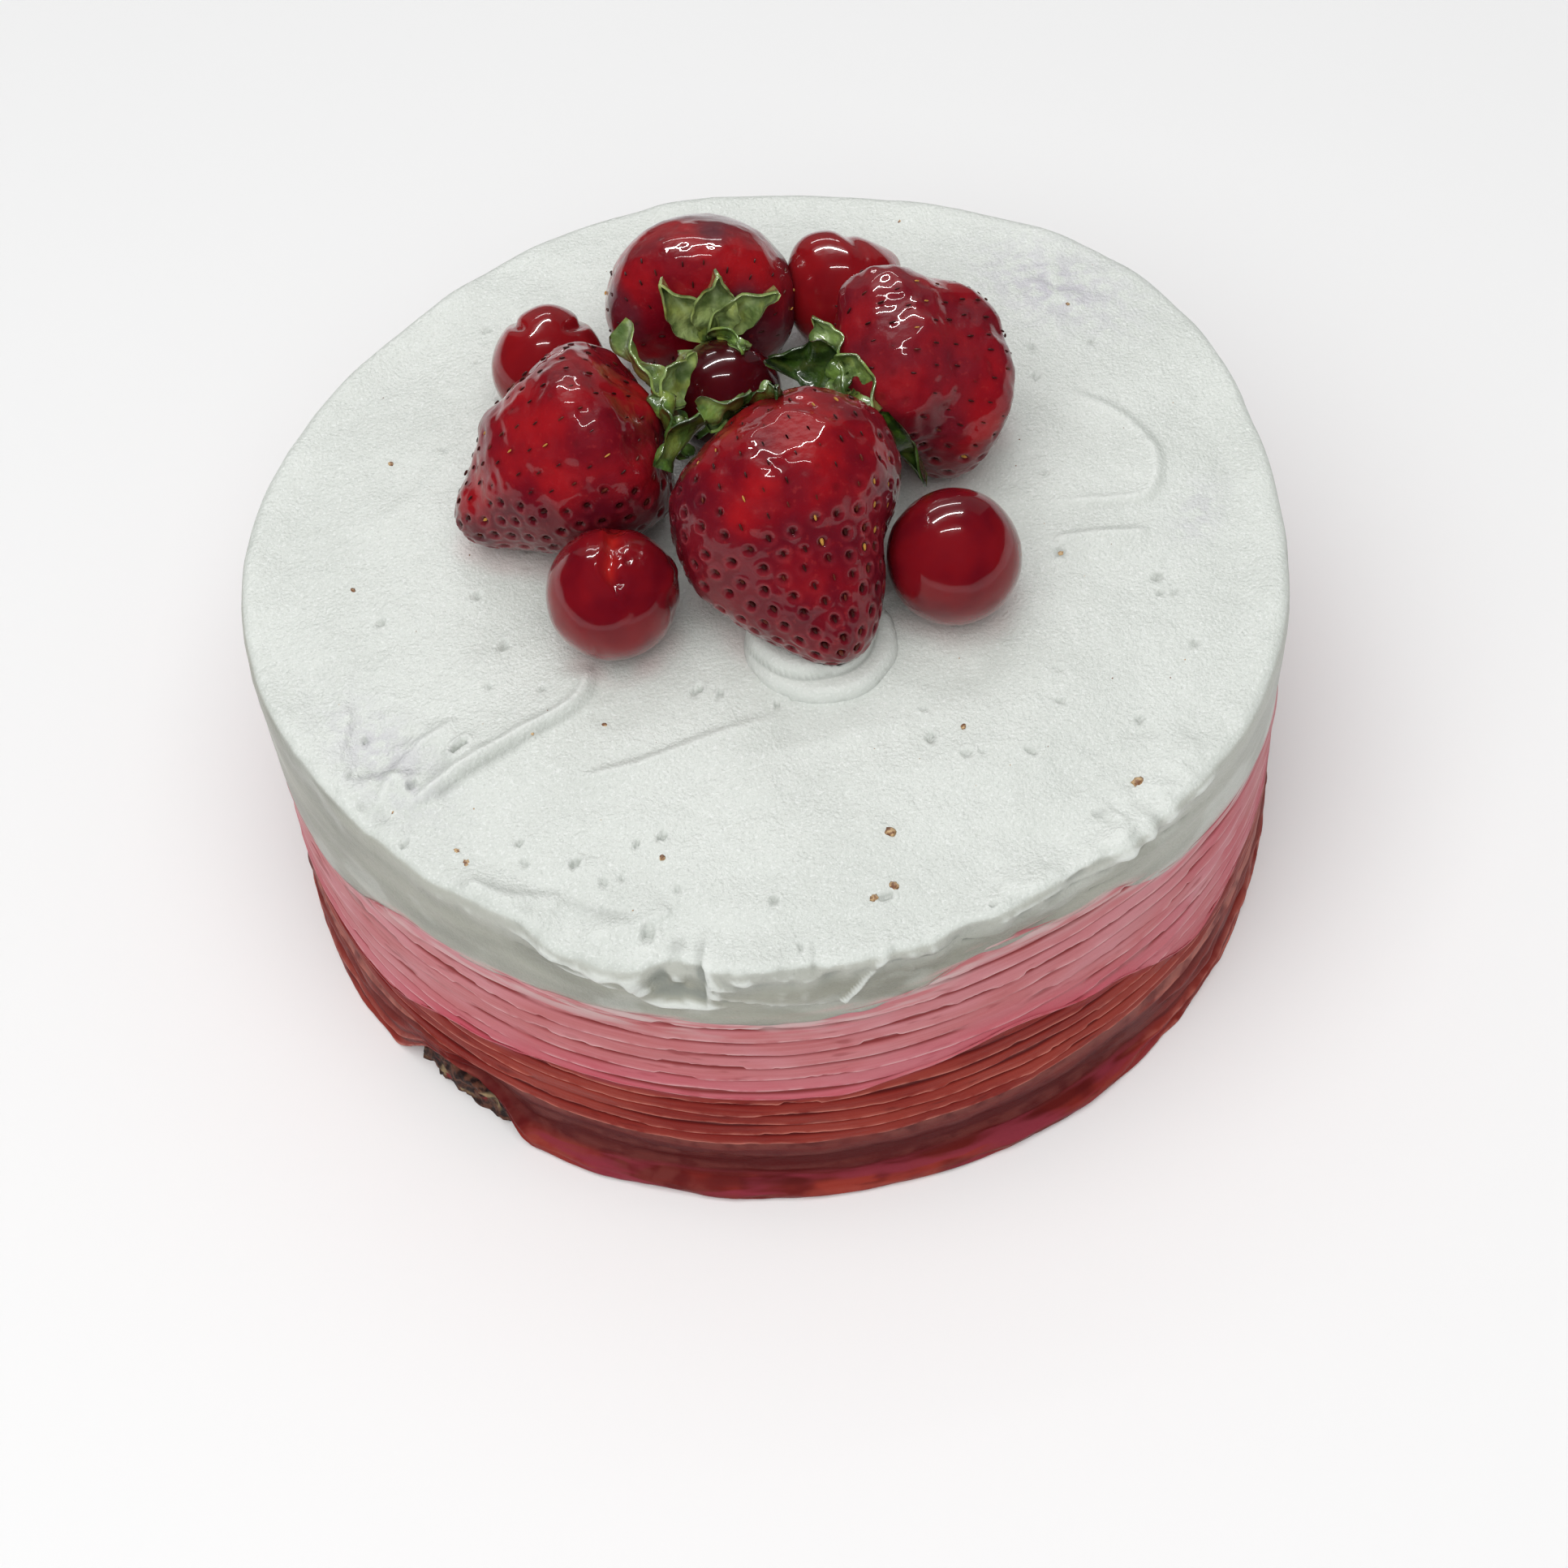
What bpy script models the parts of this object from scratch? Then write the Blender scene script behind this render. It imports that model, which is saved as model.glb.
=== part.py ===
"""A round birthday cake: sponge under three bands of combed buttercream, with glazed fruit on top.

Metres, +Z up. The origin is the centre of the cake's base, and the cake stands on z = 0. The front is at -Y.
"""

import math
import random

import bmesh
import bpy
import numpy as np

MM = 0.001
GAP = 0.3 * MM  # left between pieces that touch

# The body of the cake
TOP_RADIUS = 90 * MM
BASE_RADIUS = 91.9 * MM
HEIGHT = 67.5 * MM
TOP_SHIFT = (1.0 * MM, 1.5 * MM)  # the top sits a little right of and behind the base
SIDE_COAT = 6.5 * MM
TOP_COAT = 5.0 * MM
SEGMENTS = 64
# Waves of the rim: order, cosine and sine, in mm
RIM_WAVES = ((2, 1.48, 0.92), (3, -0.62, 0.41), (5, -1.09, -0.35), (6, -0.26, -0.24))

# Heights of the colour changes round the side: angle from +X in degrees, height in mm
WHITE_EDGE = (
    (-150, 42), (-135, 50), (-118, 52), (-100, 54), (-82, 55), (-70, 60), (-57, 58),
    (-45, 51.5), (-33, 50.5), (0, 49), (60, 45.5), (120, 44), (170, 41),
)
PINK_EDGE = (
    (-145, 20), (-130, 27.5), (-118, 30.5), (-105, 31.5), (-88, 31), (-78, 33.5), (-68, 35.5), (-55, 31),
    (-40, 21.5), (-27, 26.5), (10, 27), (60, 24), (110, 27), (170, 21),
)

# Combed ridges
PINK_RIDGES = 6
ROSE_RIDGES = 4
RIDGE_DEPTH = 1.1 * MM
RIDGE_STEP = 0.72  # share of each ridge that slopes out before it drops back
COMB_FOOT = 16.5 * MM  # the ridges end here, above the smooth foot

# The foot: height and how far it stands out from the side, in mm, top to bottom
FOOT = ((14.0, -0.7), (9.0, -1.7), (4.6, -1.2), (3.1, 0.7), (1.5, 1.5), (0.4, 1.2))
BARE_ANGLE = -133  # where the sponge shows under the scraped foot, degrees
BARE_SPREAD = 11
BARE_HEIGHT = 8 * MM
BARE_STAND = 1.2 * MM  # the bare sponge ends this far inside the side
BARE_FROM, BARE_RISE = 1 * MM, 3 * MM  # it stands out where the foot is lifted more than this
SKIRT = 0.06 * MM

# The rim: distance in from the side and height over the top, in mm, from the side inwards
RIM = ((0.0, -3.2), (0.5, -1.0), (2.0, 0.5), (4.5, 0.45), (8.5, 0.0))
RIM_UNEVEN = 0.7 * MM
TOP_RINGS = (0.82, 0.62, 0.4, 0.18)

# The dollop of cream under the tip of the front strawberry: an arc, and its section as distance out
# and height, in mm
CURL_CENTRE = (9.0 * MM, -23.5 * MM)
CURL_FROM, CURL_TO = -178, -2  # degrees
CURL_STEPS = 12
CURL_MIDDLE = 10.5  # the section narrows to this distance at its ends, mm
CURL_SECTION = ((14.2, -1.2), (13.6, 0.9), (11.6, 2.6), (9.8, 3.1), (7.4, 1.5), (7.0, -1.2))

# Fruit: centre (mm), heading and rise of the line from calyx to tip (degrees), radii from the tip round
# to the calyx every 30 degrees (mm), how flat it lies, and lumps (heading, rise, height in mm)
BERRIES = {
    "front": ((5.2, -11.4, 83.8), (-71, -25), (24.8, 19.6, 16.9, 19.4, 21.0, 19.8, 20.5), 0.95,
              ((225, -15, 1.9), (43, 27, 1.5), (78, 36, 3.1), (-12, -8, -1.8))),
    "left": ((-31.2, 9.6, 82.6), (-166, -25), (24.2, 18.0, 16.5, 16.6, 18.6, 15.9, 16.6), 0.96,
             ((69, 11, 2.4),)),
    "right": ((28.2, 20.8, 84.9), (14, -31), (20.3, 16.9, 18.6, 15.0, 16.7, 15.7, 15.5), 0.88,
              ((127, 44, 3.0), (-66, -54, 1.7), (157, 13, -1.2))),
    "back": ((-7.8, 49.2, 80.4), (86, -8), (15.6, 14.4, 13.8, 14.4, 18.6, 13.7, 11.3), 0.88,
             ((72, 57, -1.0),)),
}
CHERRIES = {
    "front_left": ((-26.0, -17.6, 78.0), 11.2, ()),
    "front_right": ((31.5, -15.9, 78.2), 11.5, ()),
    "centre": ((-4.8, 25.9, 77.6), 10.2, ()),
    "back_left": ((-36.0, 37.1, 77.1), 10.4, ((86, 56, 0.4),)),
    "back_right": ((18.5, 49.0, 77.9), 11.0, ((143, 45, 2.0), (48, 45, -0.7))),
}
LUMP_SPREAD = 0.12
BERRY_RINGS, BERRY_SIDES = 13, 20
CHERRY_RINGS, CHERRY_SIDES = 10, 14

# Calyxes: the point that the leaves grow from (mm), then each leaf's bend and tip (mm) and width (mm)
CALYXES = {
    "front": ((-1.5, 6.3, 94.3), (
        ((-4.0, 3.0, 98.0), (-8.0, 0.0, 99.0), 6.5),
        ((-9.5, 1.5, 95.0), (-14.6, -3.8, 91.5), 7.0),
        ((2.5, 3.5, 99.0), (4.0, -0.5, 102.5), 5.0),
    )),
    "left": ((-15.7, 13.0, 90.3), (
        ((-19.0, 19.0, 93.0), (-23.5, 24.5, 96.0), 7.5),
        ((-13.7, 17.9, 91.5), (-11.7, 22.7, 93.0), 7.0),
        ((-12.4, 12.0, 85.5), (-10.2, 10.2, 83.5), 5.5),
        ((-14.9, 7.8, 89.0), (-13.1, 5.0, 85.0), 5.0),
    )),
    "right": ((15.8, 16.6, 91.5), (
        ((11.0, 18.5, 91.0), (5.5, 22.5, 89.5), 8.0),
        ((14.4, 21.5, 93.5), (12.9, 27.0, 93.0), 5.0),
        ((18.6, 11.5, 92.5), (22.0, 7.6, 91.0), 7.5),
        ((23.2, 8.2, 86.5), (28.8, 4.8, 76.5), 5.5),
        ((15.3, 10.3, 93.5), (17.6, 8.6, 91.0), 5.5),
    )),
    "back": ((-6.0, 36.4, 83.0), (
        ((-5.3, 36.9, 90.0), (-4.7, 38.6, 96.3), 7.0),
        ((-10.4, 37.2, 88.5), (-14.1, 39.0, 94.9), 6.5),
        ((-0.8, 36.2, 88.2), (5.3, 37.9, 92.2), 6.0),
        ((-3.3, 31.2, 86.0), (-1.1, 27.9, 85.5), 5.0),
    )),
}
BUD_RADIUS = 3.0 * MM
BUD_RINGS, BUD_SIDES = 6, 10
LEAF_THICKNESS = 0.7 * MM
LEAF_CLEAR = 0.45 * MM
LEAF_STATIONS = 6
LEAF_CUP = 0.14  # how far the edges lift, as a share of the width
LEAF_WAVE = 0.35 * MM


def clear_scene():
    for thing in list(bpy.data.objects):
        bpy.data.objects.remove(thing)


def material(name, colour, roughness):
    made = bpy.data.materials.new(name)
    made.use_nodes = True
    shader = made.node_tree.nodes["Principled BSDF"]
    shader.inputs["Base Color"].default_value = (*colour, 1.0)
    shader.inputs["Roughness"].default_value = roughness
    shader.inputs["Metallic"].default_value = 0.0
    return made


def add_object(name, points, faces, finish):
    """A closed mesh, split into triangles, with its faces pointing out."""
    mesh = bpy.data.meshes.new(name)
    mesh.from_pydata([tuple(p) for p in points], [], faces)
    work = bmesh.new()
    work.from_mesh(mesh)
    bmesh.ops.triangulate(work, faces=work.faces)
    bmesh.ops.recalc_face_normals(work, faces=work.faces)
    work.to_mesh(mesh)
    work.free()
    mesh.materials.append(finish)
    mesh.shade_smooth()
    made = bpy.data.objects.new(name, mesh)
    bpy.context.scene.collection.objects.link(made)
    return made


def smooth(t):
    t = min(max(t, 0.0), 1.0)
    return t * t * (3 - 2 * t)


def direction(heading, rise):
    """The unit vector of a heading from +X and a rise over level, both in degrees."""
    a, b = math.radians(heading), math.radians(rise)
    return np.array((math.cos(b) * math.cos(a), math.cos(b) * math.sin(a), math.sin(b)))


def edge_height(edge, angle):
    """Height of a colour change at an angle, eased from each named point to the next, in metres."""
    degrees = math.degrees(angle)
    turn = edge[0][0]
    degrees = (degrees - turn) % 360 + turn
    ends = edge + ((edge[0][0] + 360, edge[0][1]),)
    for (a, low), (b, high) in zip(ends, ends[1:]):
        if degrees <= b:
            return (low + (high - low) * smooth((degrees - a) / (b - a))) * MM
    return edge[0][1] * MM


def ripple(angle, seed, orders):
    """A smooth uneven wave round the cake, within about -1 and 1."""
    draw = random.Random(seed)
    return sum(math.cos(k * angle + draw.uniform(0, math.tau)) for k in orders) / len(orders)


def side_radius(angle, z):
    """Outer radius of the cake's side, from the round base to the uneven rim."""
    rim = TOP_RADIUS + MM * sum(c * math.cos(k * angle) + s * math.sin(k * angle) for k, c, s in RIM_WAVES)
    return BASE_RADIUS + (rim - BASE_RADIUS) * smooth(z / HEIGHT)


def around(angle, radius, z):
    """A point of the body: its centre moves with height."""
    share = z / HEIGHT
    return (
        TOP_SHIFT[0] * share + radius * math.cos(angle),
        TOP_SHIFT[1] * share + radius * math.sin(angle),
        z,
    )


def angles(count):
    return [math.tau * i / count for i in range(count)]


def turn_shape(columns, closed):
    """Faces between neighbouring columns of points; an open column ends in shared poles."""
    count, rows = len(columns), len(columns[0])
    points = [p for column in columns for p in column]
    faces = []
    for i in range(count):
        j = (i + 1) % count
        for k in range(rows if closed else rows - 1):
            m = (k + 1) % rows
            faces.append((i * rows + k, i * rows + m, j * rows + m, j * rows + k))
    if not closed:
        for k in (0, rows - 1):
            pole = len(points)
            points.append(pole_of([column[k] for column in columns]))
            faces += [(i * rows + k, ((i + 1) % count) * rows + k, pole) for i in range(count)]
    return points, faces


def pole_of(ring):
    """The middle of a ring of points."""
    return tuple(sum(p[axis] for p in ring) / len(ring) for axis in range(3))


def ridged(angle, high, low, count, seed):
    """Points down a combed wall: each ridge slopes out, then drops back to the next."""
    wander = ripple(angle, seed, (3, 5, 8)) * 0.08
    rows = []
    pitch = (high - low) / count
    for k in range(count):
        depth = RIDGE_DEPTH * (0.85 + 0.25 * ripple(angle, seed + 7 + k, (2, 5, 9)))
        top = high - pitch * k
        crest = top - pitch * (RIDGE_STEP + wander)
        rows.append((side_radius(angle, top) - depth, top))
        rows.append((side_radius(angle, crest), crest))
    rows.append((side_radius(angle, low) - RIDGE_DEPTH, low))
    return rows


def bare_share(angle):
    """How far the foot is scraped away at an angle, from 0 to 1."""
    away = abs((math.degrees(angle) - BARE_ANGLE + 180) % 360 - 180)
    return smooth(1.5 - away / BARE_SPREAD * 1.5)


def sponge(finish):
    """The plain core, which stands out where the foot is scraped."""
    top = HEIGHT - TOP_COAT - GAP
    columns = []
    for angle in angles(SEGMENTS):
        lift = BARE_HEIGHT * bare_share(angle)
        step = max(lift - 2 * GAP, SKIRT)
        inset = SIDE_COAT + GAP
        low_inset = inset + (BARE_STAND - inset) * smooth((lift - BARE_FROM) / BARE_RISE)
        column = []
        for z, inward in ((top, inset), (step, inset), (0.8 * step, low_inset), (0.0, low_inset)):
            column.append(around(angle, side_radius(angle, z) - inward, z))
        columns.append(column)
    points, faces = turn_shape(columns, closed=False)
    return add_object("sponge", points, faces, finish)


def icing_white(finish):
    """The cap of white cream: the top, the rim and the upper side."""
    under = HEIGHT - TOP_COAT
    columns = []
    for angle in angles(SEGMENTS):
        low = edge_height(WHITE_EDGE, angle)
        wall = side_radius(angle, HEIGHT)
        uneven = RIM_UNEVEN * ripple(angle, 3, (4, 7, 11))
        column = [around(angle, wall * share, HEIGHT) for share in reversed(TOP_RINGS)]
        for inset, rise in reversed(RIM):
            lift = uneven * (1 - inset / RIM[-1][0]) if rise > -2 else 0.0
            column.append(around(angle, wall - inset * MM, HEIGHT + rise * MM + lift))
        for share in (0.55, 0.2, 0.0):
            z = low + (HEIGHT + RIM[0][1] * MM - low) * share
            inset = 0.5 * MM * (1 - share)
            column.append(around(angle, side_radius(angle, z) - inset, z))
        column.append(around(angle, side_radius(angle, low) - SIDE_COAT, low))
        column.append(around(angle, side_radius(angle, under) - SIDE_COAT, under))
        columns.append(column)
    points, faces = turn_shape(columns, closed=False)
    return add_object("icing_white", points, faces, finish)


def icing_pink(finish):
    """The ring of pink cream with combed ridges."""
    columns = []
    for angle in angles(SEGMENTS):
        high = edge_height(WHITE_EDGE, angle) - GAP
        low = edge_height(PINK_EDGE, angle)
        rows = ridged(angle, high, low, PINK_RIDGES, 11)
        rows.append((side_radius(angle, low) - SIDE_COAT, low))
        rows.append((side_radius(angle, high) - SIDE_COAT, high))
        columns.append([around(angle, radius, z) for radius, z in rows])
    points, faces = turn_shape(columns, closed=True)
    return add_object("icing_pink", points, faces, finish)


def icing_rose(finish):
    """The ring of rose cream: finer ridges, a hollow foot and a squeezed-out bead on the floor."""
    columns = []
    for angle in angles(SEGMENTS):
        high = edge_height(PINK_EDGE, angle) - GAP
        bare = bare_share(angle)
        lift = BARE_HEIGHT * bare
        rows = ridged(angle, high, COMB_FOOT, ROSE_RIDGES, 31)
        for height, out in FOOT + ((0.0, 0.6),):
            z = lift + height * MM * (COMB_FOOT - lift) / COMB_FOOT
            out = out if out < 0 else out * (1 - 1.6 * bare)
            rows.append((side_radius(angle, z) + out * MM, z))
        rows.append((side_radius(angle, lift) - SIDE_COAT, lift))
        rows.append((side_radius(angle, high) - SIDE_COAT, high))
        columns.append([around(angle, radius, z) for radius, z in rows])
    points, faces = turn_shape(columns, closed=True)
    return add_object("icing_rose", points, faces, finish)


class Fruit:
    """A rounded fruit, as a radius in each direction from its centre."""

    def __init__(self, centre, line, radii, flat, lumps):
        self.centre = np.array(centre) * MM
        self.along = direction(*line)
        self.across = np.cross(self.along, (0.0, 0.0, 1.0))
        self.across /= np.linalg.norm(self.across)
        self.over = np.cross(self.across, self.along)
        self.radii = [r * MM for r in radii]
        self.flat = flat
        self.lumps = [(direction(heading, rise), height * MM) for heading, rise, height in lumps]

    def profile(self, turn):
        """Radius at an angle from the tip, on a smooth curve through the named radii."""
        step = math.pi / (len(self.radii) - 1)
        k = min(int(turn / step), len(self.radii) - 2)
        t = turn / step - k
        last = len(self.radii) - 1
        a, b, c = self.radii[abs(k - 1)], self.radii[k], self.radii[k + 1]
        d = self.radii[last - abs(last - k - 2)]
        return b + 0.5 * t * (c - a + t * (2 * a - 5 * b + 4 * c - d + t * (3 * (b - c) + d - a)))

    def reach(self, unit):
        turn = math.acos(min(max(float(unit @ self.along), -1.0), 1.0))
        across, over = float(unit @ self.across), float(unit @ self.over)
        off = across * across + over * over + 1e-12
        squeeze = math.sqrt((across * across + (over * self.flat) ** 2) / off)
        radius = self.profile(turn) * (1 + (squeeze - 1) * math.sin(turn) ** 2)
        for towards, height in self.lumps:
            radius += height * math.exp((float(unit @ towards) - 1) / LUMP_SPREAD)
        return radius

    def unit(self, turn, spin):
        side = math.cos(spin) * self.across + math.sin(spin) * self.over
        return math.cos(turn) * self.along + math.sin(turn) * side

    def surface(self, turn, spin, out=0.0):
        unit = self.unit(turn, spin)
        return self.centre + unit * (self.reach(unit) + out)


def berry_fruit(name):
    return Fruit(*BERRIES[name])


def cherry_fruit(name):
    centre, radius, lumps = CHERRIES[name]
    return Fruit(centre, (20, 25), (radius,) * 7, 1.0, lumps)


def fruit_object(name, fruit, rings, sides, finish):
    """The fruit's surface, flat where it rests on the cream."""
    rest = HEIGHT + GAP
    columns = []
    for spin in angles(sides):
        column = []
        for k in range(1, rings):
            point = fruit.surface(math.pi * k / rings, spin)
            point[2] = max(point[2], rest)
            column.append(tuple(point))
        columns.append(column)
    points, faces = turn_shape(columns, closed=False)
    for index, turn in ((-2, 0.0), (-1, math.pi)):
        tip = fruit.surface(turn, 0.0)
        tip[2] = max(tip[2], rest)
        points[index] = tuple(tip)
    return add_object(name, points, faces, finish)


def push_clear(point, margin):
    """Moves a point out of every fruit and above the cream, to the margin."""
    for fruit in ALL_FRUIT:
        away = point - fruit.centre
        distance = np.linalg.norm(away)
        unit = away / distance
        least = fruit.reach(unit) + margin
        if distance < least:
            point = fruit.centre + unit * least
    point[2] = max(point[2], HEIGHT + margin)
    return point


def leaf_points(root, leaf, host, phase):
    """Middle surface of a leaf, three points wide: it cups and waves as it leaves the fruit."""
    root, bend, tip = (np.array(p) * MM for p in (root, *leaf[:2]))
    control = 2 * bend - (root + tip) / 2
    width = leaf[2] * MM
    rows = []
    for k in range(LEAF_STATIONS):
        t = k / (LEAF_STATIONS - 1)
        middle = (1 - t) ** 2 * root + 2 * t * (1 - t) * control + t * t * tip
        along = 2 * (1 - t) * (control - root) + 2 * t * (tip - control)
        along /= np.linalg.norm(along)
        out = middle - host.centre
        out -= along * float(out @ along)
        out /= np.linalg.norm(out)
        side = np.cross(along, out)
        half = width / 2 * (0.35 + 0.65 * math.sin(math.pi * min(t * 1.15, 1.0) ** 0.8) - 0.25 * t * t)
        wave = LEAF_WAVE * math.sin(5 * t + phase)
        row = []
        for across in (-1, 0, 1):
            lift = abs(across) * LEAF_CUP * width + across * wave
            point = middle + side * half * across + out * lift
            row.append(push_clear(point, LEAF_CLEAR + LEAF_THICKNESS / 2))
        rows.append(row)
    return np.array(rows)


def leaf_mesh(rows):
    """A thin closed solid on both sides of the middle surface; both faces are split into triangles alike."""
    count = len(rows)
    normal = np.zeros_like(rows)
    for i in range(count):
        along = rows[min(i + 1, count - 1)] - rows[max(i - 1, 0)]
        across = rows[i][2] - rows[i][0]
        for j in range(3):
            n = np.cross(along[j], across)
            normal[i][j] = n / np.linalg.norm(n)
    upper = (rows + normal * LEAF_THICKNESS / 2).reshape(-1, 3)
    lower = (rows - normal * LEAF_THICKNESS / 2).reshape(-1, 3)
    shift = len(upper)
    faces = []
    for i in range(count - 1):
        for j in (0, 1):
            a, b, c, d = i * 3 + j, i * 3 + j + 1, (i + 1) * 3 + j + 1, (i + 1) * 3 + j
            for three in ((a, b, c), (a, c, d)):
                faces.append(three)
                faces.append(tuple(shift + v for v in reversed(three)))
    rim = [3 * i for i in range(count)] + [3 * count - 2]
    rim += [3 * i + 2 for i in reversed(range(count))] + [1]
    for a, b in zip(rim, rim[1:] + rim[:1]):
        faces.append((a, b, b + shift, a + shift))
    return np.vstack((upper, lower)), faces


def join(base, others):
    """One solid from overlapping ones."""
    group = bpy.data.collections.new("joined")
    for other in others:
        group.objects.link(other)
    union = base.modifiers.new("join", "BOOLEAN")
    union.operation = "UNION"
    union.operand_type = "COLLECTION"
    union.collection = group
    union.solver = "MANIFOLD"
    graph = bpy.context.evaluated_depsgraph_get()
    whole = bpy.data.meshes.new_from_object(base.evaluated_get(graph))
    base.modifiers.clear()
    base.data = whole
    for other in others:
        bpy.data.objects.remove(other)
    bpy.data.collections.remove(group)
    return base


def calyx(name, finish):
    """The leaves of one strawberry, joined by the bud that they grow from."""
    host = berry_fruit(name)
    root, blades = CALYXES[name]
    middle = np.array(root) * MM
    columns = []
    for spin in angles(BUD_SIDES):
        column = []
        for k in range(1, BUD_RINGS):
            turn = math.pi * k / BUD_RINGS
            ball = direction(math.degrees(spin), 90 - math.degrees(turn)) * BUD_RADIUS
            column.append(push_clear(middle + ball, LEAF_CLEAR))
        columns.append(column)
    points, faces = turn_shape(columns, closed=False)
    bud = add_object("calyx_" + name, points, faces, finish)
    leaves = []
    for number, leaf in enumerate(blades):
        points, faces = leaf_mesh(leaf_points(root, leaf, host, number * 2.1))
        leaves.append(add_object(f"leaf_{name}_{number}", points, faces, finish))
    return join(bud, leaves)


def cream_curl(finish):
    """The low dollop that holds the tip of the front strawberry, clear of the fruit."""
    fruit = berry_fruit("front")
    points = []
    size = len(CURL_SECTION)
    for k in range(CURL_STEPS + 1):
        share = k / CURL_STEPS
        angle = math.radians(CURL_FROM + (CURL_TO - CURL_FROM) * share)
        full = math.sin(math.pi * (0.06 + 0.88 * share)) ** 0.6
        for out, rise in CURL_SECTION:
            z = HEIGHT + (rise * full if rise > 0 else rise) * MM
            radius = (CURL_MIDDLE + (out - CURL_MIDDLE) * full) * MM
            point = np.array((*CURL_CENTRE, z)) + radius * direction(math.degrees(angle), 0)
            away = point - fruit.centre
            distance = np.linalg.norm(away)
            least = fruit.reach(away / distance) + 2 * GAP
            if distance < least:
                point = fruit.centre + away / distance * least
            points.append(point)
    faces = []
    for k in range(CURL_STEPS):
        for m in range(size):
            n = (m + 1) % size
            faces.append((k * size + m, k * size + n, (k + 1) * size + n, (k + 1) * size + m))
    faces.append(tuple(range(size)))
    faces.append(tuple(reversed(range(CURL_STEPS * size, (CURL_STEPS + 1) * size))))
    return add_object("cream_curl", points, faces, finish)


ALL_FRUIT = [berry_fruit(name) for name in BERRIES] + [cherry_fruit(name) for name in CHERRIES]


def main():
    clear_scene()
    white = material("white_cream", (0.82, 0.84, 0.81), 0.45)
    pink = material("pink_cream", (0.50, 0.20, 0.20), 0.45)
    rose = material("rose_cream", (0.28, 0.05, 0.04), 0.45)
    crumb = material("sponge_crumb", (0.06, 0.035, 0.015), 0.9)
    berry = material("strawberry_flesh", (0.30, 0.012, 0.016), 0.25)
    cherry = material("cherry_skin", (0.32, 0.01, 0.014), 0.15)
    leaf = material("calyx_green", (0.10, 0.17, 0.035), 0.4)
    sponge(crumb)
    join(icing_white(white), [cream_curl(white)])
    icing_pink(pink)
    icing_rose(rose)
    for name in BERRIES:
        fruit_object("strawberry_" + name, berry_fruit(name), BERRY_RINGS, BERRY_SIDES, berry)
        calyx(name, leaf)
    for name in CHERRIES:
        fruit_object("cherry_" + name, cherry_fruit(name), CHERRY_RINGS, CHERRY_SIDES, cherry)


main()
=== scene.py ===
"""The looks of a round birthday cake: combed cream in three colours, glazed strawberries and cherries.

Lengths are in millimetres until a mesh is made. The frame's axes are used: +Z up, the front at -Y.
"""

import itertools
import math
import random

import bpy
import numpy as np
from mathutils import Matrix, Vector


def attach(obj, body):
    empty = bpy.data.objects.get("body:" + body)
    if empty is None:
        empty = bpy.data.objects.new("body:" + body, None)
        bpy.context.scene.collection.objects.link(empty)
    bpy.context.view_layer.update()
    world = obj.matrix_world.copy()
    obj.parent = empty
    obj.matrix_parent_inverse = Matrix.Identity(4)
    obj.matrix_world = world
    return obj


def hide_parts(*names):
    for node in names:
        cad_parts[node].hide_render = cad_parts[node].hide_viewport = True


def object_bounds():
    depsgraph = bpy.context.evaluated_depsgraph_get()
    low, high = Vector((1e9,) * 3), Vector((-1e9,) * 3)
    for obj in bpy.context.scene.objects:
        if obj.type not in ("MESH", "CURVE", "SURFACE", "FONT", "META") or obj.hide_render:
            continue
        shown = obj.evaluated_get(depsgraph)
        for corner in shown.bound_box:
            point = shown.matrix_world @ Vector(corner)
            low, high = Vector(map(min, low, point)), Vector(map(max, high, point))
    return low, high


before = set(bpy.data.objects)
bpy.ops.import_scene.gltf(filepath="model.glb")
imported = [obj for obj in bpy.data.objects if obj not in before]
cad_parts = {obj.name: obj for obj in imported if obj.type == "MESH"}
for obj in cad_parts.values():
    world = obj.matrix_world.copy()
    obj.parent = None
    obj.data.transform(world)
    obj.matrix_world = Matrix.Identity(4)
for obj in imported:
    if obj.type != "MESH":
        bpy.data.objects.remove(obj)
CAD_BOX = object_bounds()

MM = 0.001

# The body of the cake
TOP_RADIUS = 90.0
BASE_RADIUS = 91.9
HEIGHT = 67.5
TOP_SHIFT = (1.0, 1.5)  # the top sits a little right of and behind the base
SIDE_COAT = 6.5
TOP_COAT = 5.0
GAP = 0.3
RIM_WAVES = ((2, 1.48, 0.92), (3, -0.62, 0.41), (5, -1.09, -0.35), (6, -0.26, -0.24))  # order, cosine, sine

# Heights of the colour changes round the side: angle from +X in degrees, height
WHITE_EDGE = (
    (-150, 42), (-135, 50), (-118, 52), (-100, 54), (-82, 55), (-70, 60), (-57, 58),
    (-45, 51.5), (-33, 50.5), (0, 49), (60, 45.5), (120, 44), (170, 41),
)
PINK_EDGE = (
    (-145, 20), (-130, 27.5), (-118, 30.5), (-105, 31.5), (-88, 31), (-78, 33.5), (-68, 35.5), (-55, 31),
    (-40, 21.5), (-27, 26.5), (10, 27), (60, 24), (110, 27), (170, 21),
)

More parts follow.
